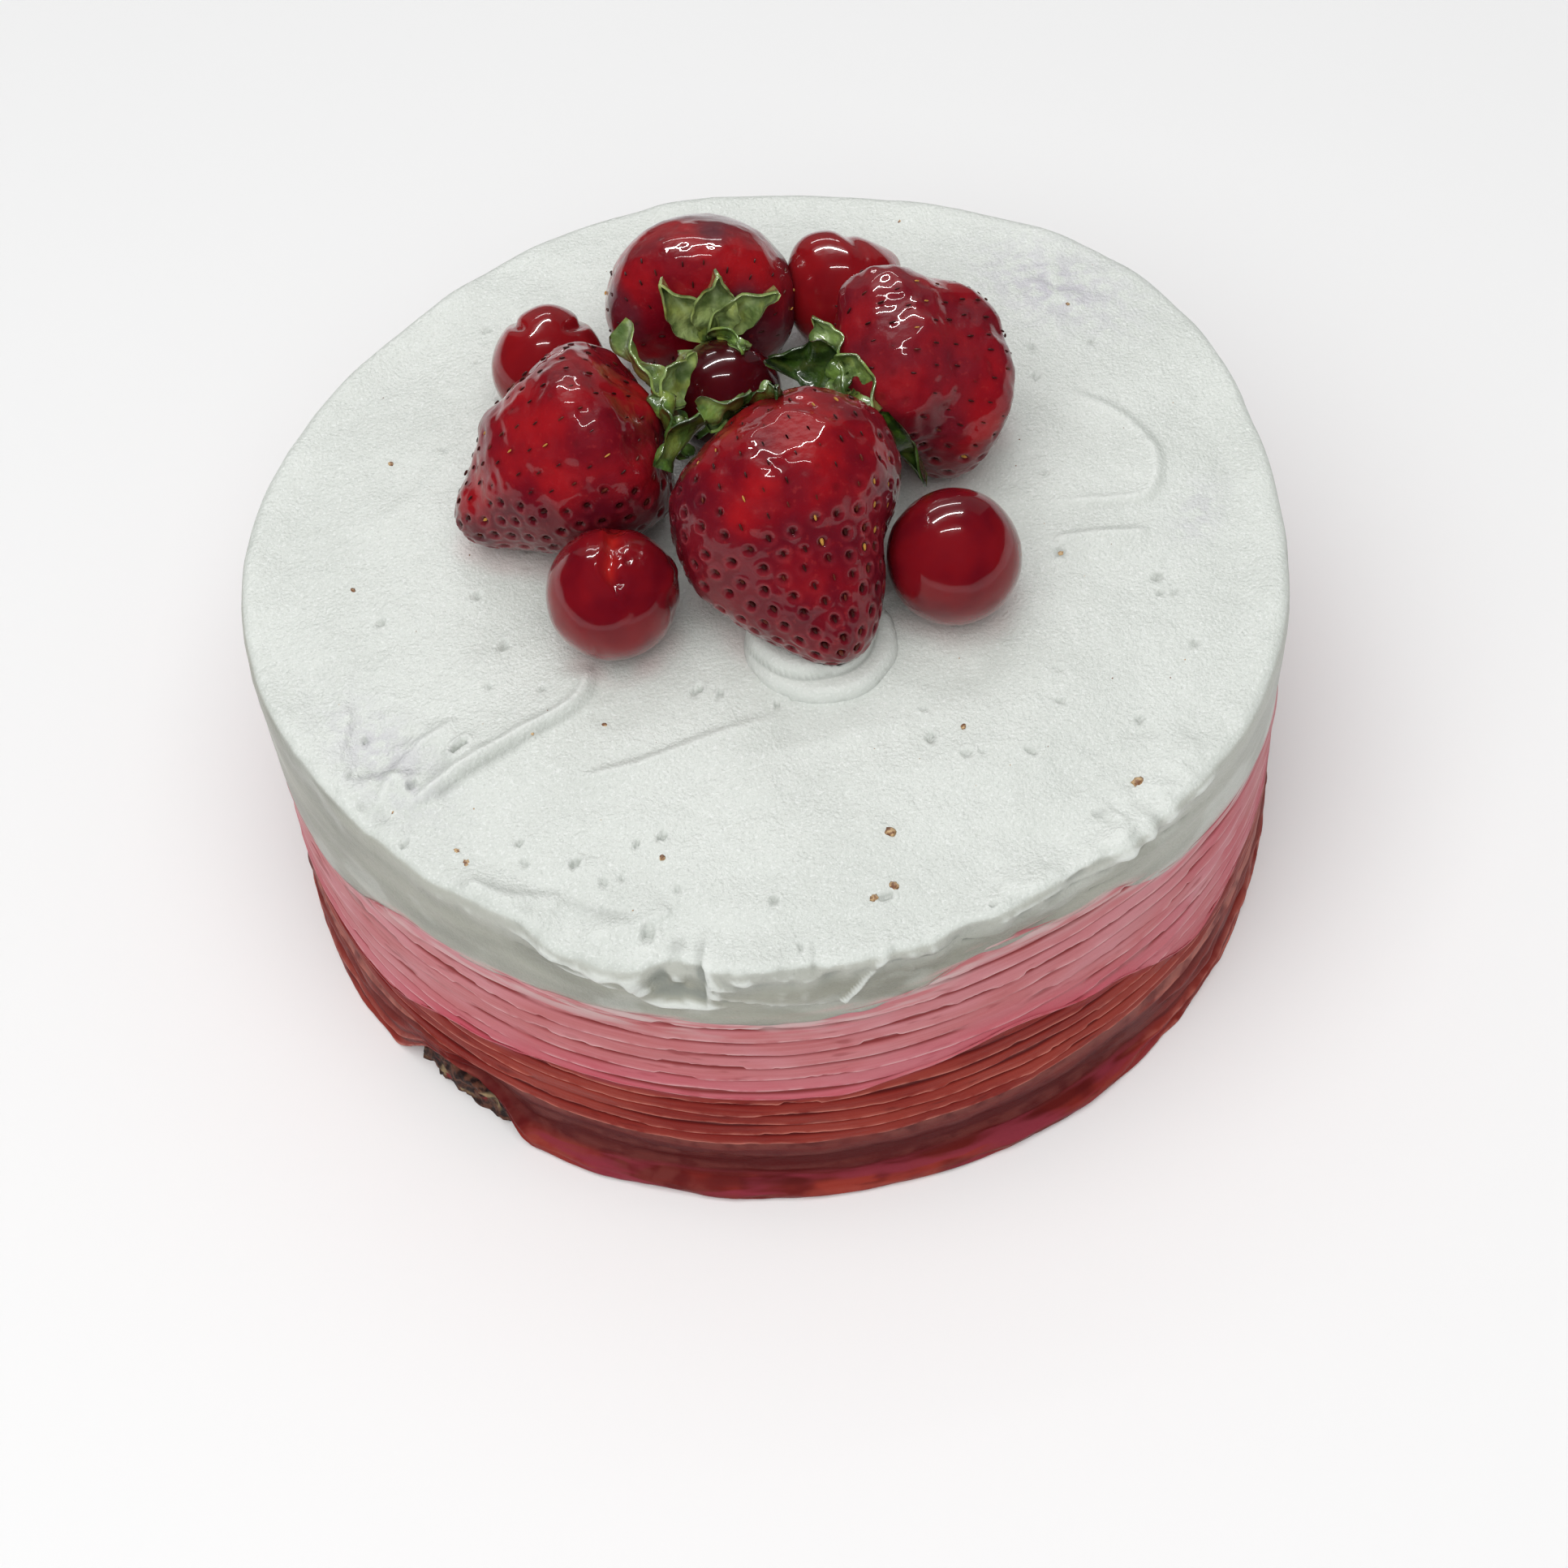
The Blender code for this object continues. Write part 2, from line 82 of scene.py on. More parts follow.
# Combed ridges: the share of each ridge from its top down, how far it stands out, and how dark it is painted
# (painted shade in the groove under each lip, partly a darker colour)
RIDGE_FORM = (
    (0.0, 0.0, 1.0), (0.05, 0.04, 0.9), (0.10, 0.36, 0.3), (0.16, 0.52, 0.0), (0.32, 0.62, 0.0),
    (0.52, 0.76, 0.0), (0.68, 0.92, 0.0), (0.77, 1.0, 0.0), (0.815, 0.88, 0.0), (0.835, 0.40, 0.4),
    (0.85, 0.04, 1.0),
)
RIDGE_DEPTH = 0.72
RIDGE_TOPS = (61.5, 57.7, 53.8, 50.0, 46.3, 42.6, 38.9, 35.2, 31.5, 28.0, 24.6, 21.4, 18.4, 15.6)
COMB_FOOT = 16.5
FOOT = ((14.0, -0.7), (9.0, -1.7), (4.6, -1.2), (3.1, 0.7), (1.5, 1.5), (0.4, 1.2), (0.0, 0.6))  # height, out
FOOT_ROWS = 30
SIDE_PITCH = 3.3  # between the ridges that run down to the floor at the sides
BARE_ANGLE, BARE_SPREAD, BARE_HEIGHT = -133, 11, 8
BARE_STAND = 0.7  # the bare sponge ends this far inside the side

# The rim: distance in from the side and height over the top
RIM = ((8.5, 0.0), (5.0, 0.35), (2.6, 0.62), (1.1, 0.5), (0.35, -0.35), (0.0, -2.2))
RIM_UNEVEN = 0.7

# Fruit: centre, heading and rise of the line from calyx to tip (degrees), radii from the tip round to the
# calyx every 30 degrees, how flat it lies, and lumps (heading, rise, height)
BERRIES = {
    "front": ((5.2, -11.4, 83.8), (-71, -25), (24.8, 19.6, 16.9, 19.4, 21.0, 19.8, 20.5), 0.95,
              ((225, -15, 1.9), (43, 27, 1.5), (78, 36, 3.1), (-12, -8, -1.8))),
    "left": ((-31.2, 9.6, 82.6), (-166, -25), (24.2, 18.0, 16.5, 16.6, 18.6, 15.9, 16.6), 0.96,
             ((69, 11, 2.4),)),
    "right": ((28.2, 20.8, 84.9), (14, -31), (20.3, 16.9, 18.6, 15.0, 16.7, 15.7, 15.5), 0.88,
              ((127, 44, 3.0), (-66, -54, 1.7), (157, 13, -1.2))),
    "back": ((-7.8, 49.2, 80.4), (86, -8), (15.6, 14.4, 13.8, 14.4, 18.6, 13.7, 11.3), 0.88,
             ((72, 57, -1.0),)),
}
CHERRIES = {
    "front_left": ((-26.0, -17.6, 78.0), 11.2, ()),
    "front_right": ((31.5, -15.9, 78.2), 11.5, ()),
    "centre": ((-4.8, 25.9, 77.6), 10.2, ()),
    "back_left": ((-36.0, 37.1, 77.1), 10.4, ((86, 56, 0.4),)),
    "back_right": ((18.5, 49.0, 77.9), 11.0, ((143, 45, 2.0), (48, 45, -0.7))),
}
LUMP_SPREAD = 0.12

# The main view
CAMERA_ELEVATION = 54.365  # degrees
CAMERA_ROLL = -4.749
CAMERA_DISTANCE = 0.50621
CAMERA_TARGET = (-0.000078, -0.003666, 0.0)
CAMERA_LENS = 59.627

# Calyxes: the point that the leaves grow from, then each leaf's bend, tip and width
CALYXES = {
    "front": ((-1.5, 6.3, 94.3), (
        ((-4.0, 3.0, 98.0), (-8.0, 0.0, 99.0), 6.5),
        ((-9.5, 1.5, 95.0), (-14.6, -3.8, 91.5), 7.0),
        ((2.5, 3.5, 99.0), (4.0, -0.5, 102.5), 5.0),
    )),
    "left": ((-15.7, 13.0, 90.3), (
        ((-19.0, 19.0, 93.0), (-23.5, 24.5, 96.0), 7.5),
        ((-13.7, 17.9, 91.5), (-11.7, 22.7, 93.0), 7.0),
        ((-12.4, 12.0, 85.5), (-10.2, 10.2, 83.5), 5.5),
        ((-14.9, 7.8, 89.0), (-13.1, 5.0, 85.0), 5.0),
    )),
    "right": ((15.8, 16.6, 91.5), (
        ((11.0, 18.5, 91.0), (5.5, 22.5, 89.5), 8.0),
        ((14.4, 21.5, 93.5), (12.9, 27.0, 93.0), 5.0),
        ((18.6, 11.5, 92.5), (22.0, 7.6, 91.0), 7.5),
        ((23.2, 8.2, 86.5), (28.8, 4.8, 76.5), 5.5),
        ((15.3, 10.3, 93.5), (17.6, 8.6, 91.0), 5.5),
    )),
    "back": ((-6.0, 36.4, 83.0), (
        ((-5.3, 36.9, 90.0), (-4.7, 38.6, 96.3), 7.0),
        ((-10.4, 37.2, 88.5), (-14.1, 39.0, 94.9), 6.5),
        ((-0.8, 36.2, 88.2), (5.3, 37.9, 92.2), 6.0),
        ((-3.3, 31.2, 86.0), (-1.1, 27.9, 85.5), 5.0),
    )),
}


# Small mathematics

def smooth(t):
    t = np.clip(t, 0.0, 1.0)
    return t * t * (3 - 2 * t)


def ease(low, high, value):
    """0 below low, 1 above high, smooth between."""
    return smooth((np.asarray(value, float) - low) / (high - low))


def hill(value, centre, width):
    return np.exp(-(((value - centre) / width) ** 2))


def noise(points, size, seed=0):
    """Smooth noise from about -1 to 1 over points (..., 3), with lumps of about that size."""
    p = np.asarray(points, float) / size + 11.3 * seed
    cell = np.floor(p).astype(np.int64)
    part = p - cell
    blend = part**3 * (part * (part * 6 - 15) + 10)
    total = np.zeros(p.shape[:-1])
    for corner in itertools.product((0, 1), repeat=3):
        at = cell + np.array(corner)
        mixed = (at[..., 0] * 73856093) ^ (at[..., 1] * 19349663) ^ (at[..., 2] * 83492791) ^ (seed * 40503)
        mixed = ((mixed ^ (mixed >> 13)) * 1274126177) & 0xFFFFFFFF
        mixed = mixed ^ (mixed >> 16)
        weight = np.prod(np.where(corner, blend, 1 - blend), axis=-1)
        total += ((mixed & 0xFFFF) / 32767.5 - 1) * weight
    return total


def layered(points, size, seed=0, layers=3):
    """Noise with finer layers on it."""
    return sum(noise(points, size / 2**k, seed + 5 * k) / 2**k for k in range(layers))


def spline(values, t):
    """Catmull-Rom curve through rows of values; t runs from 0 to the number of rows less one."""
    values = np.asarray(values, float)
    last = len(values) - 1
    k = np.clip(np.floor(t).astype(int), 0, last - 1)
    u = (t - k)[..., None]
    a, b, c, d = (values[np.clip(k + shift, 0, last)] for shift in (-1, 0, 1, 2))
    return b + 0.5 * u * (c - a + u * (2 * a - 5 * b + 4 * c - d + u * (3 * (b - c) + d - a)))


def direction(heading, rise):
    a, b = math.radians(heading), math.radians(rise)
    return np.array((math.cos(b) * math.cos(a), math.cos(b) * math.sin(a), math.sin(b)))


def lengths(vectors):
    return np.linalg.norm(vectors, axis=-1, keepdims=True)


# Meshes

def add_object(name, data):
    made = bpy.data.objects.new(name, data)
    bpy.context.scene.collection.objects.link(made)
    return made


def add_piece(name, points, faces, finish, marks=None, nodes=()):
    """A mesh piece on the cake's body, with named values at its points for its material."""
    low, high = (np.array(corner) / MM for corner in CAD_BOX)
    points = np.clip(points, low + 0.02, high - 0.02)
    mesh = bpy.data.meshes.new(name)
    mesh.from_pydata((points * MM).tolist(), [], [tuple(face) for face in faces])
    mesh.materials.append(finish)
    for key, values in (marks or {}).items():
        layer = mesh.attributes.new(key, "FLOAT", "POINT")
        layer.data.foreach_set("value", np.asarray(values, np.float32).ravel())
    mesh.shade_smooth()
    mesh.update()
    piece = add_object(name, mesh)
    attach(piece, "root")
    if nodes:
        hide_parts(*nodes)
    return piece


def grid_faces(columns, rows, closed_rows=False):
    """Quads over a grid whose columns close on themselves, point index = column * rows + row."""
    i = np.arange(columns)[:, None]
    k = np.arange(rows if closed_rows else rows - 1)[None, :]
    j, m = (i + 1) % columns, (k + 1) % rows
    quads = np.stack([a * rows + b for a, b in ((i, k), (i, m), (j, m), (j, k))], axis=-1)
    return quads.reshape(-1, 4).tolist()


def closed_faces(columns, rows):
    """Faces of a grid that two poles close, before its rows and after them; they come last in the points."""
    faces = grid_faces(columns, rows)
    start = columns * rows
    for i in range(columns):
        j = (i + 1) % columns
        faces.append((start, i * rows, j * rows))
        faces.append((start + 1, j * rows + rows - 1, i * rows + rows - 1))
    return faces


def ball_angles(rings, sides):
    """Angles from the first pole and round it for the points of a ball, with the poles last."""
    turn, spin = np.meshgrid(
        math.pi * np.arange(1, rings) / rings, np.linspace(0, math.tau, sides, endpoint=False)
    )
    return np.append(turn, (0.0, math.pi)), np.append(spin, (0.0, 0.0))


def push_out(points, angle, amount):
    """Moves points away from the middle of the cake."""
    points[..., 0] += amount * np.cos(angle)
    points[..., 1] += amount * np.sin(angle)


def around(angle, radius, z):
    """A point of the body: its centre moves with height."""
    share = z / HEIGHT
    x = TOP_SHIFT[0] * share + radius * np.cos(angle)
    y = TOP_SHIFT[1] * share + radius * np.sin(angle)
    return np.stack(np.broadcast_arrays(x, y, z), axis=-1)


def turn_columns(count):
    """Angles round the cake, closer together at the front, where the cream is most uneven."""
    even = np.linspace(-math.pi, math.pi, count, endpoint=False)
    return even - 0.45 * np.cos(even)


def side_radius(angle, z):
    rim = TOP_RADIUS + sum(c * np.cos(k * angle) + s * np.sin(k * angle) for k, c, s in RIM_WAVES)
    return BASE_RADIUS + (rim - BASE_RADIUS) * smooth(z / HEIGHT)


def edge_height(edge, angle):
    """Height of a colour change, eased from each named point to the next."""
    turn = edge[0][0]
    degrees = (np.degrees(angle) - turn) % 360 + turn
    ends = edge + ((turn + 360, edge[0][1]),)
    height = np.zeros_like(degrees)
    for (a, low), (b, high) in zip(ends, ends[1:]):
        inside = (degrees >= a) & (degrees <= b)
        height = np.where(inside, low + (high - low) * smooth((degrees - a) / (b - a)), height)
    return height


def ring_point(angle):
    """A point for noise that runs round the cake."""
    return around(angle, TOP_RADIUS, np.zeros_like(angle))


# Materials

STREAKED = (0.35, 0.35, 3.5)  # noise drawn out along the comb


class Finish:
    """A material being built: short ways to add the nodes that this scene needs."""

    def __init__(self, name):
        self.made = bpy.data.materials.new(name)
        self.made.use_nodes = True
        self.tree = self.made.node_tree
        self.shader = self.tree.nodes["Principled BSDF"]
        self.coords = self.node("ShaderNodeTexCoord").outputs["Object"]
        self.colour = None

    def join(self, socket, value):
        """Sets an input to a node's output, to the value of a named mark, to a colour or to a number."""
        if isinstance(value, str):
            value = self.node("ShaderNodeAttribute", attribute_name=value).outputs["Fac"]
        if isinstance(value, bpy.types.NodeSocket):
            self.tree.links.new(value, socket)
        elif socket.type == "RGBA":
            socket.default_value = (*value[:3], 1.0)
        else:
            socket.default_value = value

    def node(self, kind, inputs=None, **settings):
        made = self.tree.nodes.new(kind)
        for key, value in settings.items():
            setattr(made, key, value)
        for key, value in (inputs or {}).items():
            self.join(made.inputs[key], value)
        return made

    def set(self, **values):
        for key, value in values.items():
            self.join(self.shader.inputs[key.replace("_", " ")], value)

    def done(self):
        self.set(Base_Color=self.colour)
        return self.made

    def grain(self, size, stretch=(1, 1, 1), detail=2.0, shift=0.0):
        """Noise with grains of a size in mm; stretch above 1 makes them finer along that axis."""
        scale = tuple(s / (size * MM) for s in stretch)
        place = {"Vector": self.coords, "Scale": scale, "Location": (shift, shift, shift)}
        mapping = self.node("ShaderNodeMapping", place).outputs["Vector"]
        texture = self.node("ShaderNodeTexNoise", {"Vector": mapping, "Scale": 1.0, "Detail": detail})
        return texture.outputs["Fac"]

    def ramp(self, value, low, high, a=0.0, b=1.0):
        ends = {"Value": value, "From Min": low, "From Max": high, "To Min": a, "To Max": b}
        return self.node("ShaderNodeMapRange", ends, interpolation_type="SMOOTHSTEP").outputs["Result"]

    def spots(self, size, low, high, most=1.0, **how):
        """Soft-edged patches of noise, from 0 between them to a share inside them."""
        return self.ramp(self.grain(size, **how), low, high, 0.0, most)

    def times(self, a, b):
        return self.node("ShaderNodeMath", {0: a, 1: b}, operation="MULTIPLY").outputs[0]

    def mix(self, share, a, b):
        return self.node("ShaderNodeMix", {0: share, 6: a, 7: b}, data_type="RGBA").outputs[2]

    def paint(self, share, colour):
        """Lays a colour over what is there by a share."""
        self.colour = self.mix(share, self.colour, colour)

    def bump(self, height, distance, strength=1.0, under=None):
        inputs = {"Height": height, "Distance": distance * MM, "Strength": strength}
        if under is not None:
            inputs["Normal"] = under
        return self.node("ShaderNodeBump", inputs).outputs["Normal"]


def white_finish():
    finish = Finish("white_cream")
    broad = finish.spots(22, 0.35, 0.7, detail=3.0)
    finish.colour = finish.mix(broad, (0.685, 0.718, 0.675), (0.635, 0.668, 0.625))
    # Painted glints: tiny pale specks stand in for light sparkling on the grain of the cream.
    finish.paint(finish.spots(0.5, 0.54, 0.70, 0.45), (0.88, 0.90, 0.88))
    finish.paint(finish.spots(0.6, 0.54, 0.70, 0.22, shift=2.0), (0.42, 0.45, 0.42))
    # Painted shade: the side wall is painted in greys that stand in for the shade it lies in under the
    # overhead light; the side mark says how much.
    patches = finish.spots(9, 0.35, 0.7, stretch=(0.4, 0.4, 1.6))
    finish.paint("side", finish.mix(patches, (0.345, 0.345, 0.285), (0.24, 0.24, 0.195)))
    # Painted highlight: paler where the cream stands up over the places round it, and just under the rim at
    # the front.
    finish.paint("lit", (0.74, 0.77, 0.73))
    # A darker lilac grey in patches on the top.
    finish.paint(finish.times("lilac_tint", finish.spots(2.6, 0.35, 0.62, detail=3.0)), (0.52, 0.50, 0.56))
    # Painted shade in the hollows of the cream.
    finish.paint("dim", (0.27, 0.29, 0.26))
    finish.paint(finish.times("blush", finish.spots(5, 0.45, 0.66, stretch=STREAKED)), (0.68, 0.36, 0.36))
    finish.paint("stain", (0.72, 0.50, 0.50))
    fine = finish.bump(finish.grain(0.6, detail=3.0), 0.28, 0.8)
    normal = finish.bump(finish.grain(3.2), 0.35, 0.5, fine)
    finish.set(Roughness=0.38, Normal=normal, Specular_IOR_Level=0.4)
    finish.set(Subsurface_Weight=0.15, Subsurface_Scale=0.005, Subsurface_Radius=(1.0, 1.0, 1.0))
    return finish.done()


def combed_finish(name, lit, pale, main, deep, smear, low):
    """Combed cream: fine lines along the comb, painted highlights on the lips, painted shade in the grooves
    and streaks of the colour above.
    """
    finish = Finish(name)
    lines = finish.grain(2.6, stretch=(0.14, 0.14, 4.5), detail=3.0)
    finish.colour = finish.mix(finish.spots(14, 0.35, 0.7, stretch=(0.6, 0.6, 1.6), shift=3.0), main, pale)
    finish.paint(finish.ramp(lines, 0.40, 0.75, 0.0, 0.45), pale)
    finish.paint(finish.spots(4, 0.60, 0.74, 0.5, stretch=(0.5, 0.5, 2.5), shift=5.0), deep)
    finish.paint("low", low)
    # Painted shade in the grooves under the lips, in the deep colour.
    finish.paint("groove", deep)
    # Painted highlight on the lip of each ridge, in the lit colour.
    finish.paint(finish.times("lip_highlight", finish.spots(3.5, 0.3, 0.6, 0.75)), lit)
    finish.paint(finish.times("smear", finish.spots(5, 0.42, 0.62, stretch=STREAKED, shift=7.0)), smear)
    fine = finish.bump(finish.grain(0.7, detail=3.0), 0.12, 0.5)
    finish.set(Roughness=0.45, Normal=finish.bump(lines, 0.16, 0.5, fine), Specular_IOR_Level=0.12)
    return finish.done()


def crumb_finish():
    finish = Finish("sponge_crumb")
    holes = finish.grain(1.6, detail=4.0)
    finish.colour = finish.mix(finish.ramp(holes, 0.38, 0.6), (0.02, 0.007, 0.006), (0.13, 0.045, 0.025))
    finish.paint(finish.spots(4.5, 0.55, 0.68, detail=3.0, shift=4.0), (0.34, 0.24, 0.12))
    finish.paint(finish.spots(3, 0.60, 0.70, detail=3.0, shift=9.0), (0.22, 0.02, 0.02))
    finish.set(Roughness=0.75, Normal=finish.bump(holes, 1.0))
    return finish.done()


def speck_finish():
    finish = Finish("crumb_specks")
    grains = finish.spots(0.8, 0.40, 0.60, detail=3.0)
    finish.colour = finish.mix(grains, (0.20, 0.08, 0.03), (0.60, 0.40, 0.20))
    finish.set(Roughness=0.6, Normal=finish.bump(finish.grain(0.4), 0.1))
    return finish.done()


def berry_finish():
    finish = Finish("strawberry_flesh")
    patches = finish.grain(10, detail=3.0)
    bare = finish.mix(finish.ramp(patches, 0.30, 0.72), (0.18, 0.007, 0.014), (0.095, 0.005, 0.013))
    wet = finish.mix(finish.ramp(patches, 0.30, 0.70), (0.34, 0.007, 0.011), (0.165, 0.004, 0.011))
    finish.colour = finish.mix("glaze", bare, wet)
    # A duller, greyer red: partly painted sheen, standing in for the pale veil of reflected light, and partly
    # a darker tone.
    finish.paint("dull_and_sheen", (0.12, 0.016, 0.026))
    finish.paint(finish.spots(1.2, 0.60, 0.75, 0.30, shift=3.0), (0.36, 0.03, 0.03))
    # Painted shade in the seed pits, and a painted highlight on the raised rims round them.
    finish.paint("pit", (0.035, 0.004, 0.005))
    finish.paint("ring", (0.36, 0.05, 0.06))
    waves = finish.bump(finish.grain(2.6, detail=1.5), 0.34, 0.8)
    finish.set(Roughness=0.32, Normal=finish.bump(finish.grain(1.0), 0.12, 0.7, waves))
    finish.set(Subsurface_Weight=0.12, Subsurface_Scale=0.003, Subsurface_Radius=(1.0, 0.08, 0.06))
    finish.set(Specular_IOR_Level=0.08, Coat_Weight=1.0, Coat_Roughness=0.015, Coat_IOR=1.36)
    return finish.done()


def cherry_finish():
    finish = Finish("cherry_skin")
    finish.colour = finish.mix(finish.spots(9, 0.38, 0.66), (0.215, 0.006, 0.011), (0.145, 0.004, 0.010))
    finish.paint("crease", (0.46, 0.016, 0.012))
    # Painted shade: darker where the dark mark is, chiefly on the centre cherry among the leaves and berries.
    finish.paint("dark", (0.05, 0.003, 0.006))
    finish.set(Roughness=0.2, Normal=finish.bump(finish.grain(2.2), 0.12, 0.5))
    finish.set(Subsurface_Weight=0.4, Subsurface_Scale=0.006, Subsurface_Radius=(1.0, 0.06, 0.05))
    finish.set(Specular_IOR_Level=0.08, Coat_Weight=1.0, Coat_Roughness=0.012, Coat_IOR=1.38)
    return finish.done()


def seed_finish():
    finish = Finish("strawberry_seed")
    tone = finish.spots(6, 0.50, 0.70, detail=1.0)
    finish.colour = finish.mix(tone, (0.04, 0.005, 0.004), (0.12, 0.02, 0.008))
    finish.paint("gold", (0.52, 0.26, 0.05))
    finish.set(Roughness=0.4, Specular_IOR_Level=0.25)
    return finish.done()


def leaf_finish():
    finish = Finish("calyx_green")
    patches = finish.grain(3.2, detail=4.0)
    finish.colour = finish.mix(finish.ramp(patches, 0.38, 0.56), (0.12, 0.26, 0.025), (0.022, 0.075, 0.006))
    finish.paint(finish.times("pale", finish.ramp(patches, 0.70, 0.35, 0.25, 0.85)), (0.37, 0.46, 0.16))
    finish.paint(finish.spots(4, 0.52, 0.66, 0.35, shift=6.0), (0.36, 0.38, 0.05))
    finish.paint(finish.times("vein", 0.5), (0.52, 0.66, 0.32))
    # Darker green, partly painted shade on the leaves that lie low between the fruit.
    finish.paint("dark", (0.010, 0.022, 0.005))
    finish.set(Roughness=0.35, Normal=finish.bump(finish.grain(1.3, detail=3.0), 0.45, 0.9))
    finish.set(Coat_Weight=1.0, Coat_Roughness=0.04, Coat_IOR=1.6)
    return finish.done()


def floor_finish():
    finish = Finish("pale_floor")
    finish.colour = (0.95, 0.95, 0.95)
    finish.set(Roughness=0.9)
    return finish.done()


# White cream

WHITE_COLUMNS = 700
TOP_RINGS = 86
RIM_ROWS = 16
SIDE_ROWS = 28

# Spatula marks: points of the stroke, height of its ridge, width, and how far its bank falls off
STROKES = (
    (((-31.0, -24.0), (-33.5, -31.5), (-43.2, -37.8), (-53.0, -44.0), (-62.5, -51.5)), 1.7, 1.0, 6.0),
    (((-53.0, -33.0), (-60.0, -38.5), (-64.7, -45.0), (-66.0, -51.0)), 0.6, 0.8, -4.0),
    (((-34.0, -47.7), (-23.0, -45.5), (-12.3, -41.5), (2.0, -38.0)), 0.7, 0.8, 5.0),
    (((55.8, 30.5), (65.0, 24.0), (70.5, 14.0), (68.0, 4.5), (60.0, 3.5), (50.0, 4.5)), 0.75, 0.8, 5.0),
    (((50.0, -4.5), (58.0, -4.0), (67.0, -4.5)), 0.6, 0.7, 3.0),
    (((-52.0, -66.0), (-45.5, -70.0), (-36.0, -71.0)), 0.7, 0.8, 3.5),
    (((-33.0, -79.0), (-26.0, -77.5), (-19.0, -74.5)), 0.6, 0.8, -3.0),
    (((-70.0, 8.0), (-52.0, 30.0), (-40.0, 52.0)), 0.25, 2.0, 8.0),
)

# Pits in the top: place, length, width, heading in degrees, depth
PITS = (
    ((-53.2, -39.5), 3.6, 1.7, 45, 0.8), ((-34.5, -64.5), 2.3, 1.5, 50, 0.5),
    ((-20.5, -60.5), 2.2, 1.2, 20, 0.45), ((-61.0, -46.5), 2.4, 1.3, 60, 0.5),
    ((-24.5, -61.5), 1.5, 0.9, 30, 0.35), ((-27.0, -68.0), 1.4, 0.9, 80, 0.3),
    ((-62.0, -58.0), 2.0, 1.2, 30, 0.4), ((-71.5, -43.5), 1.6, 1.0, 0, 0.4),
    ((-69.0, -36.0), 1.6, 1.0, 60, 0.4), ((-23.3, -78.8), 2.2, 1.6, 0, 0.6),
    ((0.5, -84.0), 1.2, 0.8, 0, 0.3), ((31.0, -79.0), 1.6, 1.0, 0, 0.4),
)
SMALL_PITS, SMALL_PIT_REACH = 70, 77  # how many are scattered, and within what radius

# Torn, uneven places on the top: place, reach, height
TORN = (
    ((-64.0, -44.0), 10.0, 0.8), ((-71.0, -32.0), 6.0, 0.5), ((53.5, -64.5), 7.0, 0.7),
    ((64.0, -53.0), 7.0, 0.5), ((59.0, 57.0), 9.0, 0.5), ((38.0, -76.0), 8.0, 0.4),
)

# Lumps along the lip: angle (degrees), height, spread round (mm), spread up (mm), out (mm)
LIP_MARKS = (
    (-115.0, 66.6, 5.5, 1.6, 2.1), (-110.3, 65.8, 3.4, 1.9, 2.6), (-107.3, 63.8, 1.7, 2.2, 2.4),
    (-106.6, 61.6, 1.1, 1.0, 1.1), (-111.5, 63.2, 2.6, 0.7, -0.7), (-114.0, 61.4, 3.4, 0.7, 0.7),
    (-110.3, 60.4, 2.2, 0.7, 0.5), (-104.5, 58.2, 4.0, 1.2, 1.1), (-100.4, 58.8, 3.4, 1.0, 0.9),
    (-119.0, 66.4, 4.0, 0.9, 0.7), (-96.4, 66.4, 2.0, 1.2, 1.2), (-82.0, 66.6, 5.0, 1.0, 0.5),
    (-66.0, 66.8, 5.0, 0.9, 0.7), (-60.0, 66.6, 2.4, 0.8, -0.6), (-42.0, 66.7, 4.0, 0.9, 0.8),
    (-54.0, 66.8, 2.6, 1.4, 1.5), (-50.6, 67.2, 1.8, 1.2, 1.3), (-47.4, 67.0, 2.4, 1.3, 1.1),
    (-56.5, 64.2, 2.2, 0.9, -0.7), (-51.5, 63.8, 2.6, 0.8, -0.5), (-126.0, 66.0, 6.0, 1.3, 0.4),
    (-92.0, 66.4, 4.0, 1.0, 0.5), (-88.0, 64.0, 2.4, 1.6, -0.4), (-78.0, 66.2, 5.0, 1.2, 0.4),
)

# Fine ridges (out) and tears (in) on the wall: points as angle and height, out, half width
LIP_LINES = (
    (((-86.2, 58.8), (-84.6, 62.0), (-82.0, 67.2)), 1.2, 0.85),
    (((-99.8, 65.6), (-97.2, 64.2)), 1.0, 0.42), (((-73.4, 63.9), (-70.8, 63.0)), -0.5, 0.28),
    (((-67.2, 59.6), (-62.2, 59.9)), -0.6, 0.32), (((-64.0, 65.9), (-58.2, 64.4)), -0.5, 0.30),
    (((-58.0, 61.0), (-50.0, 59.5)), -0.4, 0.30), (((-48.0, 63.0), (-40.0, 61.0)), -0.4, 0.30),
    (((-79.0, 61.2), (-74.0, 59.8)), -0.35, 0.25), (((-121.0, 62.5), (-115.0, 60.8)), -0.35, 0.28),
    (((-96.5, 62.8), (-91.5, 61.9)), -0.25, 0.25), (((-113.5, 66.8), (-119.0, 67.2)), -0.45, 0.35),
    (((-71.0, 57.5), (-64.0, 56.2)), 0.4, 0.35),
)
NOTCH = (-105.3, -99.8, 58.8, 2.1)  # from and to angles, lowest height, depth
LEDGE = ((-99.2, 61.2), (-88.6, 58.0), 0.6)  # ends of its lower edge as angle and height, and its depth
ROUGH_PLACES = ((-50.5, 6.0), (-110.0, 7.0), (-64.0, 5.0))  # angle and spread in degrees of the torn lip

# Patches where the top is painted a darker lilac grey: place, reach along, reach across, heading, strength
LILAC_PATCHES = (((58.0, 57.0), 14, 9, -35, 0.8), ((-66.0, -40.0), 13, 6, -55, 0.6), ((76.0, -1.0), 8, 4, 60, 0.35))


